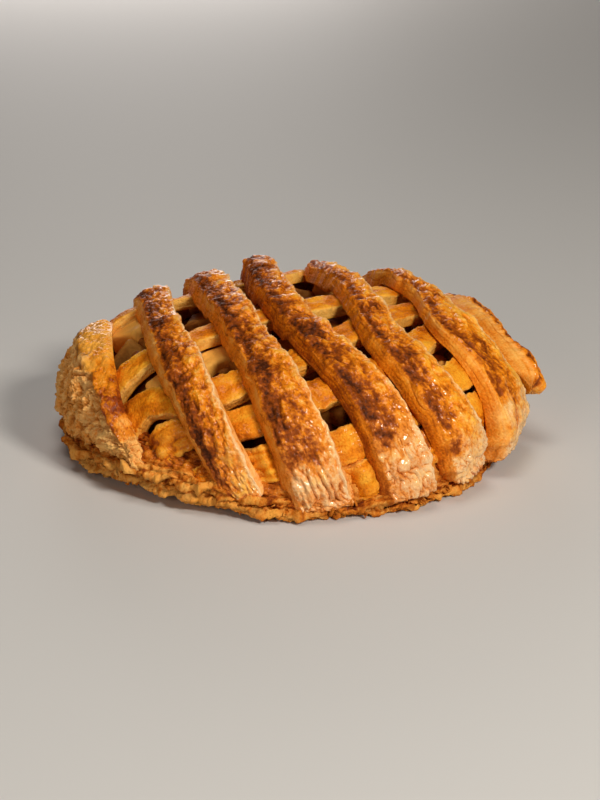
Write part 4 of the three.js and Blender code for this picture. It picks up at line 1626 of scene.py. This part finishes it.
@dataclass
class RimFlakes:
    """Loose flakes of pastry that cling to the rim and to the lowest part of the wall."""

    dome: Dome
    seed: int = 12
    count: int = 560
    torn_count: int = 300
    torn: Span = (-139.0, 7.0)
    torn_heights: Span = (3.5, 11.0)
    rim_heights: Span = (0.7, 3.6)
    wall_heights: Span = (3.0, 8.0)
    rim_share: float = 0.7
    size: Span = (0.8, 3.4)
    ragged: float = 0.25
    thickness: float = 0.35
    inset: float = 0.2
    lean: float = 0.55
    lean_from: float = 3.0
    scatter: float = 0.5
    lowest: float = 0.05
    pale: float = 0.9
    gloss: float = 0.3
    rings: int = 3
    sides: int = 8

    def build(self, finish: Material) -> Object:
        """Makes one piece of all flakes: thin bent lenses, each at its own place and slant.

        Args:
            finish: their material.

        Returns:
            The new object.
        """
        rng = np.random.default_rng(self.seed)
        lat, turn = ball(self.rings, self.sides)
        lens = points_of(np.cos(lat) * np.cos(turn), np.cos(lat) * np.sin(turn), np.sin(lat))
        kinds = [False] * self.count + [True] * self.torn_count
        flakes = [self.flake(rng, lens, torn) for torn in kinds]
        return Skin.joined(flakes).piece("rim_flakes", finish, Slot.BASE)

    def flake(self, rng: np.random.Generator, ball_points: Array, torn: bool) -> Skin:
        """One flake: a ball pressed into a ragged lens, bowed along its length, turned and placed.

        Args:
            rng: source of its draws.
            ball_points: rings of points of a ball of radius 1.
            torn: whether it lies at the torn place of the rim.

        Returns:
            The flake's mesh.
        """
        long = rng.uniform(*self.size)
        wide = long * rng.uniform(0.35, 0.8)
        lens = ball_points * np.array([long / 2, wide / 2, self.thickness / 2])
        lens = lens * (1.0 + self.ragged * rng.normal(size=(1, self.sides, 1)))
        lens[..., 2] += rng.uniform(-0.4, 0.6) * (lens[..., 0] / long) ** 2 * long
        axes, _ = np.linalg.qr(rng.normal(size=(3, 3)))
        angle = math.radians(rng.normal(*self.torn)) if torn else rng.uniform(0.0, 2.0 * math.pi)
        if torn:
            height = rng.uniform(*self.torn_heights)
        else:
            levels = [rng.uniform(*self.rim_heights), rng.uniform(*self.wall_heights)]
            height = rng.choice(levels, p=[self.rim_share, 1.0 - self.rim_share])
        radius = self.dome.rim_radius - self.inset - self.lean * max(height - self.lean_from, 0.0)
        radius = radius + self.scatter * rng.normal() - float(self.dome.narrow.share(np.array(angle)))
        grid = lens @ axes.T + self.dome.turned(np.array(angle), np.array(radius), np.array(height))
        grid[..., 2] = np.maximum(grid[..., 2], self.lowest)
        brown = np.full(grid.shape[:2], rng.uniform(0.2, 0.6))
        marks = {"brown": brown, "pale": np.full_like(brown, self.pale), "gloss": self.gloss * brown,
                 "shade": np.zeros_like(brown)}
        return Tube(grid, marks).skin()


@dataclass(frozen=True)
class Slice:
    """Larger piece of apple that shows: place on the unrolled bed, sides, turn and depth."""

    at: Span
    sides: Triple
    turn: float
    sink: float


@dataclass(frozen=True)
class Rates:
    """How fast the sine of each measure of the diced pieces runs from one number to the next."""

    long: float = 2.1
    wide: float = 3.7
    deep: float = 5.3
    lean: float = 1.3
    tilt: float = 2.7
    turn: float = 1.9
    sink: float = 4.3
    ripe: float = 3.1


@dataclass
class AppleFilling:
    """Filling: diced cooked apple lying on a mound of its own juices."""

    dome: Dome
    name: str = "apple_filling"
    count: int = 32
    deeper: float = 1.3
    spread: float = 11.2
    side: float = 12.5
    depth: float = 8.0
    slant: float = 0.25
    sink: float = 2.6
    uneven: float = 0.2
    rates: Rates = Rates()
    stewed: float = 0.7
    stewing: float = 0.2
    fresh: float = 0.02
    roundness: float = 0.3
    rows: int = 22
    columns: int = 36
    seed: int = 50
    softness: Ripple = Ripple(6.0, 2)
    fibres: Ripple = Ripple(1.6)
    flesh_relief: Mix = Mix(soft=0.5, fibre=0.12)
    ripening: Ripple = Ripple(7.0, 3)
    ripe_wave: float = 0.3
    back_heap: float = 3.2
    back_share: float = 0.55
    back_arc: Span = (40.0, 58.0)
    back_from: Span = (-12.0, 18.0)
    mound_depth: float = 5.6
    mound_arc: Span = (2.0, 72.0)
    mound_rows: int = 90
    mound_columns: int = 240
    mound_foot: float = 1.0
    mound_below: Span = (30.0, 8.0)
    mound_seed: int = 77
    mound_clear: float = 2.0
    seat: float = 3.7
    lumps: Ripple = Ripple(7.0)
    pips: Ripple = Ripple(2.0)
    mound_relief: Mix = Mix(lumps=1.2, pips=0.3)
    syrups: Ripple = Ripple(8.0, 3)
    syrup: Mix = Mix(0.5, wave=0.4)
    slices: tuple[Slice, ...] = (
        Slice((-40.0, -37.0), (12.0, 10.0, 7.0), 0.5, 0.9),
        Slice((-25.0, -28.0), (24.0, 9.0, 6.0), 0.55, 0.9),
        Slice((-50.0, 9.0), (17.0, 13.0, 7.0), 0.9, 0.3))

    def dice(self, number: float, sink: float) -> Skin:
        """One diced piece: sines of its number make it uneven, a golden-angle spiral places it.

        Args:
            number: its number, with halves for the pieces that lie deeper.
            sink: depth of its top under the heaped bed, before it is made uneven.

        Returns:
            The piece's mesh.
        """
        def sized(length: float, rate: float) -> float:
            """Length made larger or smaller for this piece."""
            return length * (1.0 + self.uneven * math.sin(number * rate))

        rates = self.rates
        sides = (sized(self.side, rates.long), sized(self.side, rates.wide), sized(self.depth, rates.deep))
        lean, tilt = (self.slant * math.sin(number * rate) for rate in (rates.lean, rates.tilt))
        turns = (number * rates.turn, lean, tilt)
        angle = number * math.pi * (3.0 - math.sqrt(5.0))
        flat = self.spread * math.sqrt(number + 0.5) * np.array([math.cos(angle), math.sin(angle)])
        ripe = self.stewed + self.stewing * math.sin(number * rates.ripe)
        return self.block(int(2 * number), sides, turns, flat, sized(sink, rates.sink), ripe)

    def block(self, number: int, sides: tuple[float, ...], turns: tuple[float, ...], flat: Array,
              sink: float, ripe: float) -> Skin:
        """One piece of apple: a rounded block whose outline is a superellipse both ways.

        Args:
            number: fixes its unevenness.
            sides: its two sides and its thickness.
            turns: its turns about the vertical and about the two sides.
            flat: its place on the unrolled bed.
            sink: depth of its top under the heaped bed.
            ripe: how dark it has cooked.

        Returns:
            The piece's mesh.
        """
        def rounded(value: Array) -> Array:
            """Sine or cosine flattened towards a square."""
            return np.sign(value) * np.abs(value) ** self.roundness

        lat, turn = ball(self.rows, self.columns)
        girth = rounded(np.cos(lat))
        block = points_of(girth * rounded(np.cos(turn)), girth * rounded(np.sin(turn)), rounded(np.sin(lat)))
        block = block * np.array(sides) / 2
        for axis, angle in zip((2, 0, 1), turns):
            block = block @ rotation(axis, angle).T
        low = -sides[2] / 2 - sink + float(self.dome.heaped(flat) + self.back_share * self.heaped_back(flat))
        foot, above = self.dome.at(np.stack([flat, flat]), np.array([low, low + 1.0]))
        block = block @ upright(above - foot).T + foot
        grain = Grain(self.seed + number)
        soft, fibre = grain.layered(block, self.softness), grain.puffs(block, self.fibres)
        tube = Tube(block).raised(self.flesh_relief.of(soft=soft, fibre=fibre))
        tube.marks = {"ripe": ripe + self.ripe_wave * grain.layered(block, self.ripening)}
        return tube.skin()

    def heaped_back(self, flat: Array) -> Array:
        """How far the filling stands higher behind the crown."""
        arc = np.hypot(flat[..., 0], flat[..., 1])
        return self.back_heap * smooth(arc, *self.back_arc) * smooth(flat[..., 1], *self.back_from)

    def mound(self) -> Tube:
        """Juices under the apple: the heaped bed lowered by the depth of a piece, closed underneath.

        Returns:
            The mound's skin with its attribute.
        """
        arc = np.linspace(*self.mound_arc, self.mound_rows)[:, None]
        angle = np.linspace(0.0, 2.0 * math.pi, self.mound_columns, endpoint=False)[None, :]
        flat = np.stack([arc * np.cos(angle), arc * np.sin(angle)], axis=-1)
        heap = self.dome.heaped(flat) + self.heaped_back(flat)
        radius, height = self.dome.outline(arc, heap - self.mound_depth)
        below = [np.full_like(angle, ring) for ring in self.mound_below]
        radius = np.concatenate([radius, radius[-1:] - self.mound_foot, *below])
        height = np.concatenate([height, np.full((len(below) + 1, self.mound_columns), self.seat)])
        tube = Tube(self.dome.turned(angle, radius, height))
        grain = Grain(self.mound_seed)
        lumps, pips = grain.puffs(tube.grid, self.lumps), grain.puffs(tube.grid, self.pips)
        top = height > self.seat + self.mound_clear
        tube = tube.raised(top * self.mound_relief.of(lumps=lumps, pips=pips))
        tube.marks = {"ripe": self.syrup.of(wave=grain.layered(tube.grid, self.syrups))}
        return tube

    def build(self, flesh: Material, juice: Material) -> list[Object]:
        """Makes the diced apple as one piece and the juices as another.

        Args:
            flesh: material of the apple.
            juice: material of the juices.

        Returns:
            The two new objects.
        """
        diced = [self.dice(number, self.sink) for number in range(self.count)]
        diced += [self.dice(number + 0.5, self.sink + self.deeper) for number in range(self.count)]
        for number, part in enumerate(self.slices, 2 * self.count):
            turns = (part.turn, 0.0, 0.0)
            diced.append(self.block(number, part.sides, turns, np.array(part.at), part.sink, self.fresh))
        # The juices' dark colour is partly painted shade for the holes between the strips.
        return [
            Skin.joined(diced).piece("diced_apple", flesh, Slot.FILLING, self.name),
            self.mound().skin().piece("apple_juices_and_shade", juice, Slot.FILLING, self.name),
        ]


def rotation(axis: int, angle: float) -> Array:
    """Turn about one of the three axes.

    Args:
        axis: 0, 1 or 2.
        angle: how far, in radians.

    Returns:
        The turn's matrix.
    """
    turn = np.eye(3)
    first, second = (axis + 1) % 3, (axis + 2) % 3
    turn[first, first] = turn[second, second] = math.cos(angle)
    turn[second, first] = math.sin(angle)
    turn[first, second] = -math.sin(angle)
    return turn


def upright(direction: Array) -> Array:
    """Shortest turn that brings +Z to a direction.

    Args:
        direction: where +Z goes, of any length.

    Returns:
        The turn's matrix.
    """
    up = direction / np.linalg.norm(direction)
    cross = np.array([[0.0, 0.0, up[0]], [0.0, 0.0, up[1]], [-up[0], -up[1], 0.0]])
    return np.eye(3) + cross + cross @ cross / (1.0 + up[2])


def linear(code: str) -> Quad:
    """Colour of a screen code as the shader's linear light, by the standard screen curve.

    Args:
        code: six hexadecimal digits, such as c08a4e.

    Returns:
        Red, green, blue and a full alpha.
    """
    parts = np.array([int(code[k:k + 2], 16) for k in (0, 2, 4)]) / 255.0
    curve = ((parts + SCREEN_LIFT) / (1.0 + SCREEN_LIFT)) ** SCREEN_POWER
    light = np.where(parts <= SCREEN_KNEE, parts / SCREEN_SLOPE, curve)
    return (*(float(part) for part in light), 1.0)


class Bench:
    """Lays out the nodes of a material or a node group."""

    COLOUR_A = 6
    COLOUR_B = 7
    COLOUR_RESULT = 2

    def __init__(self, tree: NodeTree) -> None:
        """Takes the tree that it works on."""
        self.tree = tree

    def add(self, kind: str, **values: object) -> Node:
        """Adds a node; values named for sockets or settings are set or linked.

        Args:
            kind: the node's type.
            values: setting or socket name, with underscores for spaces, and its value or source.

        Returns:
            The node.
        """
        node = self.tree.nodes.new(kind)
        for name, value in values.items():
            if hasattr(node, name):
                setattr(node, name, value)
            else:
                self.put(node.inputs[name.replace("_", " ")], value)
        return node

    def put(self, socket: NodeSocket, value: object) -> None:
        """Links a source to a socket, or sets its value.

        Args:
            socket: an input.
            value: a number, a colour or the output of another node.
        """
        if isinstance(value, NodeSocket):
            self.tree.links.new(value, socket)
        else:
            socket.default_value = value

    def maths(self, operation: str, first: object, second: object = 0.0) -> NodeSocket:
        """Sum, product or other operation of two values.

        Args:
            operation: its name.
            first: number or source.
            second: number or source.

        Returns:
            The result's socket.
        """
        node = self.add("ShaderNodeMath", operation=operation)
        self.put(node.inputs[0], first)
        self.put(node.inputs[1], second)
        return node.outputs[0]

    def blend(self, share: object, first: object, second: object) -> NodeSocket:
        """Colour between two others.

        Args:
            share: 0 for the first to 1 for the second.
            first: colour or source.
            second: colour or source.

        Returns:
            The blended colour's socket.
        """
        node = self.add("ShaderNodeMix", data_type="RGBA", Factor=share)
        self.put(node.inputs[self.COLOUR_A], first)
        self.put(node.inputs[self.COLOUR_B], second)
        return node.outputs[self.COLOUR_RESULT]

    def ramp(self, value: object, low: float, high: float, start: float = 0.0,
             end: float = 1.0) -> NodeSocket:
        """Value carried from one range to another and held at its ends.

        Args:
            value: number or source.
            low: value that becomes the start.
            high: value that becomes the end.
            start: first end of the new range.
            end: other end of the new range.

        Returns:
            The result's socket.
        """
        limits = {"From_Min": low, "From_Max": high, "To_Min": start, "To_Max": end}
        return self.add("ShaderNodeMapRange", Value=value, **limits).outputs[0]

    def mark(self, name: str) -> NodeSocket:
        """Value of one of the mesh's attributes."""
        return self.add("ShaderNodeAttribute", attribute_name=name).outputs["Fac"]


class Kind(Enum):
    """Types of the node groups' sockets."""

    NUMBER = "NodeSocketFloat"
    COLOUR = "NodeSocketColor"


Group = tuple[Bench, dict[str, NodeSocket], Node]


def new_group(name: str, inputs: dict[str, Kind], outputs: dict[str, Kind]) -> Group:
    """Starts a shader node group.

    Args:
        name: the group's name.
        inputs: input names with their types.
        outputs: output names with their types.

    Returns:
        A bench on the group, its inputs' sockets by name, and its output node.
    """
    tree = bpy.data.node_groups.new(name, "ShaderNodeTree")
    for way, sockets in (("INPUT", inputs), ("OUTPUT", outputs)):
        for label, kind in sockets.items():
            tree.interface.new_socket(label, in_out=way, socket_type=kind.value)
    bench = Bench(tree)
    entry = bench.add("NodeGroupInput")
    leave = bench.add("NodeGroupOutput")
    return bench, {label: entry.outputs[label] for label in inputs}, leave


def new_material(name: str) -> tuple[Material, Bench, Node]:
    """Starts a material.

    Args:
        name: the material's name.

    Returns:
        The material, a bench on its nodes and its shader.
    """
    material = bpy.data.materials.new(name)
    material.use_nodes = True
    return material, Bench(material.node_tree), material.node_tree.nodes["Principled BSDF"]


@dataclass(frozen=True)
class BakedTone:
    """Colour of pastry by how far it is baked: four tones, with the amounts where each is reached."""

    tones: tuple[str, ...] = ("Dough", "Golden", "Brown", "Scorched")
    amounts: tuple[float, ...] = (0.0, 0.42, 0.78, 1.25)

    def build(self) -> NodeTree:
        """Node group that blends from each tone to the next.

        Returns:
            The group.
        """
        inputs = {"Baked": Kind.NUMBER, **{tone: Kind.COLOUR for tone in self.tones}}
        bench, given, leave = new_group("baked_tone", inputs, {"Tone": Kind.COLOUR})
        colour = given[self.tones[0]]
        for tone, low, high in zip(self.tones[1:], self.amounts, self.amounts[1:]):
            colour = bench.blend(bench.ramp(given["Baked"], low, high), colour, given[tone])
        bench.put(leave.inputs["Tone"], colour)
        return bench.tree


@dataclass(frozen=True)
class CrumbGrain:
    """Finest grain of a baked surface: small noise and pin-sized pores, as a height and a tint."""

    detail: float = 4.0
    roughness: float = 0.6
    pore_scale: float = 0.8
    pore_height: Quad = (0.0, 0.5, -0.3, 0.2)
    tint: Quad = (0.3, 0.7, -1.0, 1.0)

    def build(self) -> NodeTree:
        """Node group that takes the grain's size in metres.

        Returns:
            The group.
        """
        outputs = {"Height": Kind.NUMBER, "Tint": Kind.NUMBER}
        bench, given, leave = new_group("crumb_grain", {"Size": Kind.NUMBER}, outputs)
        place = bench.add("ShaderNodeTexCoord").outputs["Object"]
        scale = bench.maths("DIVIDE", 1.0, given["Size"])
        noise = bench.add("ShaderNodeTexNoise", Vector=place, Scale=scale, Detail=self.detail,
                          Roughness=self.roughness).outputs["Fac"]
        finer = bench.maths("MULTIPLY", scale, self.pore_scale)
        pores = bench.add("ShaderNodeTexVoronoi", Vector=place, Scale=finer).outputs["Distance"]
        bench.put(leave.inputs["Height"], bench.maths("ADD", noise, bench.ramp(pores, *self.pore_height)))
        bench.put(leave.inputs["Tint"], bench.ramp(noise, *self.tint))
        return bench.tree


@dataclass(frozen=True)
class PastryFinish:
    """Baked pastry: glazed tones on the washed faces, cream tones where bare dough shows."""

    name: str
    glazed: tuple[str, str, str, str]
    bare: tuple[str, str, str, str]
    grain: float = 0.0007
    grain_brown: float = 0.15
    grain_rough: float = 0.06
    coat: float = 0.55
    coat_roughness: float = 0.12
    sheen: float = 0.1
    bump: float = 0.8
    bump_height: float = 0.0004

    def build(self, tone: NodeTree, crumb: NodeTree) -> Material:
        """Material that reads brown, pale, gloss and the painted shade and scorch from the mesh.

        Args:
            tone: group that turns baking into colour.
            crumb: group of the finest grain.

        Returns:
            The material.
        """
        material, bench, shader = new_material(self.name)
        grain = bench.add("ShaderNodeGroup", node_tree=crumb, Size=self.grain).outputs
        browner = bench.maths("MULTIPLY", grain["Tint"], self.grain_brown)
        baked = bench.maths("ADD", bench.mark("brown"), browner)
        colours = []
        for tones in (self.glazed, self.bare):
            codes = dict(zip(BakedTone.tones, map(linear, tones)))
            mixed = bench.add("ShaderNodeGroup", node_tree=tone, Baked=baked, **codes)
            colours.append(mixed.outputs["Tone"])
        pale = bench.mark("pale")
        colour = bench.blend(pale, *colours)
        # Painted shade, and on the side strip a scorched line, blend the colour towards the scorched tone.
        colour = bench.blend(bench.mark("shade"), colour, linear(self.glazed[-1]))
        bench.put(shader.inputs["Base Color"], colour)
        rougher = bench.maths("MULTIPLY", grain["Tint"], self.grain_rough)
        rough = bench.maths("ADD", bench.ramp(pale, 0.0, 1.0, 0.5, 0.72), rougher)
        bench.put(shader.inputs["Roughness"], rough)
        bench.put(shader.inputs["Coat Weight"], bench.maths("MULTIPLY", bench.mark("gloss"), self.coat))
        bench.put(shader.inputs["Coat Roughness"], self.coat_roughness)
        bench.put(shader.inputs["Specular IOR Level"], self.sheen)
        bump = bench.add("ShaderNodeBump", Strength=self.bump, Distance=self.bump_height,
                         Height=grain["Height"])
        bench.put(shader.inputs["Normal"], bump.outputs["Normal"])
        return material


@dataclass(frozen=True)
class FruitFinish:
    """Moist cooked fruit, from its pale to its dark parts."""

    name: str
    light: str
    dark: str
    roughness: Span
    sheen: float
    grain: float = 0.0012
    grain_ripe: float = 0.10
    bump: float = 0.35
    bump_height: float = 0.0003

    def build(self, crumb: NodeTree) -> Material:
        """Material that reads ripe from the mesh.

        Args:
            crumb: group of the finest grain.

        Returns:
            The material.
        """
        material, bench, shader = new_material(self.name)
        grain = bench.add("ShaderNodeGroup", node_tree=crumb, Size=self.grain).outputs
        riper = bench.maths("MULTIPLY", grain["Tint"], self.grain_ripe)
        ripe = bench.maths("ADD", bench.mark("ripe"), riper)
        colour = bench.blend(bench.ramp(ripe, 0.0, 1.0), linear(self.light), linear(self.dark))
        bench.put(shader.inputs["Base Color"], colour)
        bench.put(shader.inputs["Roughness"], bench.ramp(ripe, 0.0, 1.0, *self.roughness))
        bench.put(shader.inputs["Specular IOR Level"], self.sheen)
        bump = bench.add("ShaderNodeBump", Strength=self.bump, Distance=self.bump_height,
                         Height=grain["Height"])
        bench.put(shader.inputs["Normal"], bump.outputs["Normal"])
        return material


@dataclass(frozen=True)
class Lamp:
    """Square soft light aimed at the pie."""

    name: str
    place: Triple
    size: float
    watts: float
    colour: Triple


@dataclass
class Studio:
    """Pale floor that sweeps up into a backdrop, soft lights and the camera, in metres."""

    eye: Triple = (0.00005, -0.71087, 0.25889)
    pitch: float = math.radians(70.788)
    lens: float = 108.0
    sensor: float = 36.0
    nearest: float = 0.05
    aim: Triple = (0.0, 0.0, 0.02)
    floor_half: float = 3.0
    floor_front: float = -3.0
    sweep_at: float = 2.4
    sweep_before: float = 0.01
    sweep_radius: float = 0.8
    sweep_steps: int = 24
    backdrop_top: float = 2.6
    floor_colour: str = "cfccc7"
    floor_roughness: float = 0.7
    world_colour: str = "c9c9cc"
    world_strength: float = 0.016
    lamps: tuple[Lamp, ...] = (
        Lamp("key_light", (0.46, -0.66, 0.56), 0.18, 6.8, (1.0, 0.96, 0.90)),
        Lamp("top_light", (-0.05, -0.05, 0.95), 0.40, 2.4, (1.0, 0.96, 0.92)),
        Lamp("back_light", (-0.15, 1.10, 0.20), 0.40, 2.3, (1.0, 0.95, 0.92)),
        Lamp("front_fill", (-0.40, -0.80, 0.35), 0.30, 1.4, (1.0, 0.95, 0.90)),
    )

    def build(self) -> None:
        """Sets the floor, the lights, the camera and the picture's plain colour rendering."""
        self.floor()
        for lamp in self.lamps:
            self.light(lamp)
        self.camera()
        scene = bpy.context.scene
        scene.world = scene.world or bpy.data.worlds.new("studio_air")
        scene.world.use_nodes = True
        backing = scene.world.node_tree.nodes["Background"]
        backing.inputs["Color"].default_value = linear(self.world_colour)
        backing.inputs["Strength"].default_value = self.world_strength
        scene.view_settings.view_transform = "Standard"

    def floor(self) -> None:
        """Floor and backdrop: a flat line, a quarter circle and a straight rise, carried sideways."""
        bend = np.linspace(0.0, math.pi / 2, self.sweep_steps)
        flat = [[self.floor_front, 0.0], [self.sweep_at - self.sweep_before, 0.0]]
        arc = self.sweep_radius * np.stack([np.sin(bend), 1.0 - np.cos(bend)], axis=-1)
        rise = [[self.sweep_at + self.sweep_radius, self.backdrop_top]]
        line = np.concatenate([flat, arc + [self.sweep_at, 0.0], rise])
        points = points_of(np.array([[-self.floor_half, self.floor_half]]), line[:, :1], line[:, 1:])
        row = np.arange(len(line) - 1) * 2
        faces = np.stack([row, row + 1, row + 3, row + 2], axis=1)
        mesh = bpy.data.meshes.new("studio_floor")
        mesh.from_pydata(points.reshape(-1, 3).tolist(), [], faces.tolist())
        mesh.shade_smooth()
        material, bench, shader = new_material("studio_paper")
        bench.put(shader.inputs["Base Color"], linear(self.floor_colour))
        bench.put(shader.inputs["Roughness"], self.floor_roughness)
        mesh.materials.append(material)
        floor = bpy.data.objects.new("studio_floor", mesh)
        bpy.context.scene.collection.objects.link(floor)

    def light(self, lamp: Lamp) -> None:
        """Adds one soft light, turned towards the pie.

        Args:
            lamp: what it is and where it stands.
        """
        data = bpy.data.lights.new(lamp.name, "AREA")
        data.energy = lamp.watts
        data.size = lamp.size
        data.color = lamp.colour
        light = bpy.data.objects.new(lamp.name, data)
        light.location = lamp.place
        x, y, z = np.array(self.aim) - np.array(lamp.place)
        light.rotation_euler = (math.atan2(math.hypot(x, y), -z), 0.0, math.atan2(-x, y))
        bpy.context.scene.collection.objects.link(light)

    def camera(self) -> None:
        """Adds the camera, level from side to side and looking along +Y from above."""
        data = bpy.data.cameras.new("portrait_camera")
        data.lens = self.lens
        data.sensor_width = self.sensor
        data.clip_start = self.nearest
        camera = bpy.data.objects.new("portrait_camera", data)
        camera.location = self.eye
        camera.rotation_euler = (self.pitch, 0.0, 0.0)
        bpy.context.scene.collection.objects.link(camera)
        bpy.context.scene.camera = camera


LOWER_ROUTES = (
    Route(((-78, 32), (-50, 44), (-20, 61), (-5, 84)), (9, 9.6, 9)),
    Route(((-85, -3), (-53, 17), (-15, 39), (25, 81)), (9, 9.8, 9), toast=-0.1),
    Route(((-75, -42), (-36, -24), (7, -1), (34, 30), (56, 64)), (9, 10, 9), toast=-0.12),
    Route(((-65.5, -53.5), (-47, -47), (-23, -53), (5, -36), (34, 3), (73, 43)), (9, 10, 9)),
    Route(((-54, -65), (-36, -62), (-11, -62), (23, -43), (47, -7), (81, 24)), (8.5, 9.6, 9)),
    Route(((-33, -78), (-8, -74), (20, -65), (45.2, -37.5), (64, -8), (85, 5)), (8, 8.6, 9), toast=-0.08),
    Route(((8, -86), (38, -63), (57, -39), (83.5, -14.5)), (8, 8.4, 9)),
)
SIDE_ROUTE = Route(((-71, 46), (-60, 17), (-57, -14), (-54, -40), (-53, -65)))
UPPER_ROUTES = (
    Route(((-48, 67), (-42, 9), (-35, -31), (-16, -83)), (8.2, 8.6, 9.6), puff=0.4, skirt=1.8, drop=1.4,
          flank=-0.32, wrinkle=0.4, bare=0.25, pale_from=70.0,
          marks=(Mark(0.555, -1.0, 6, 2.6, 0.42),)),
    Route(((-33, 75), (-23, 9), (-10, -41), (11, -85)), (9, 9.5, 13.0), puff=0.6, skirt=1.3, drop=2.2,
          flank=-0.2, wrinkle=0.95,
          marks=(Mark(0.5, -2.6, 16, 2.4, 0.34), Mark(0.77, -2.2, 5, 2.4, 0.35),
                 Mark(0.20, -1.5, 6, 3, 0.3), Mark(0.905, 1.0, 5, 3, 0.4))),
    Route(((-14, 83), (-7, 5), (11, -42), (39, -75)), (8.8, 8.6, 12.6), puff=2.4, skirt=1.0, drop=2.0,
          toast=0.05, wrinkle=0.25, pale_from=61.0,
          marks=(Mark(0.68, 0.0, 8, 2.4, 0.42), Mark(0.755, -0.5, 4, 2.4, 0.25),
                 Mark(0.36, 0.0, 8, 3, 0.25), Mark(0.865, 2.5, 3, 2, 0.2))),
    Route(((2, 84), (20, -3), (33, -43), (61, -58)), (8.2, 8.4, 13.6), puff=0.6, skirt=1.0, drop=1.2,
          wrinkle=0.1, toast=-0.14, flank=-0.08,
          marks=(Mark(0.615, 0.5, 4, 2, 0.4), Mark(0.79, -0.5, 6, 2.6, 0.38))),
    Route(((16, 83), (37, 22), (52.3, -17.5), (80.1, -30.9)), (8.2, 8.4, 25), puff=1, drop=0.8, swell=3.2,
          wrinkle=0.5, toast=-0.24, flank=-0.2,
          marks=(Mark(0.585, 0.5, 3, 1.8, 0.4), Mark(0.79, 0.0, 5, 2.4, 0.36),
                 Mark(0.83, 0.5, 5, 3, 0.2))),
    Route(((40, 74), (53, 36), (63, 10), (72.8, -9.5)), (9, 7.4, 5.4), puff=2.0, puff_at=0.4, tab=6.0,
          toast=-0.1, flank=-0.34, skirt=3.0),
)

GLAZED = PastryFinish(
    "glazed_pastry", ("ffb230", "ea820a", "98460a", "481e06"), ("f9cc92", "ea9340", "ac5618", "622e10"),
    coat=0.62, bump=0.55)
HANGING = PastryFinish(
    "hanging_pastry", ("ffb040", "f08a14", "983f08", "341408"), ("f8c47a", "e2903a", "a65416", "5c2e14"),
    coat=0.3)
GOLDEN = PastryFinish(
    "golden_pastry", ("ffb630", "ea840c", "a04806", "582609"), ("fbc870", "ee9a30", "b25c14", "643012"),
    coat=0.3)
FLAKY = PastryFinish(
    "flaky_pastry", ("e89630", "c8680e", "823606", "401a08"), ("f2b058", "d07a22", "8e3e0c", "48200a"),
    coat=0.15)
FLESH = FruitFinish("apple_flesh", "ffbc54", "7a3408", (0.5, 0.65), 0.1)
# Juices: dark cooked-apple brown, darkened further as painted shade in the holes between the strips.
JUICES_AND_SHADE = FruitFinish("apple_juices_and_shade", "6a2806", "3a1404", (0.75, 0.9), 0.05)


def main() -> None:
    """Builds the pie from its base up, then the studio around it."""
    logging.basicConfig(level=logging.INFO, format="%(name)s: %(message)s")
    dome = Dome()
    lattice = Lattice(dome, LOWER_ROUTES, UPPER_ROUTES, SIDE_ROUTE)
    tone, crumb = BakedTone().build(), CrumbGrain().build()
    finishes = (GLAZED, HANGING, GOLDEN, FLAKY)
    glazed, hanging, golden, flaky = (finish.build(tone, crumb) for finish in finishes)
    BaseCrust(dome).build(flaky)
    RimFlakes(dome).build(flaky)
    AppleFilling(dome).build(FLESH.build(crumb), JUICES_AND_SHADE.build(crumb))
    for number, route in enumerate(LOWER_ROUTES):
        name = f"lower_strip_{number + 1}"
        LowerStrip(name, number, route, lattice, LOWER_SECTION, Slot.LOWER).build(golden)
    SideStrip(lattice).build(hanging)
    for number, route in enumerate(UPPER_ROUTES):
        name = f"upper_strip_{number + 2}"
        UpperStrip(name, number, route, lattice, UPPER_SECTION, Slot.UPPER).build(glazed)
    Studio().build()


if __name__ == "__main__":
    main()
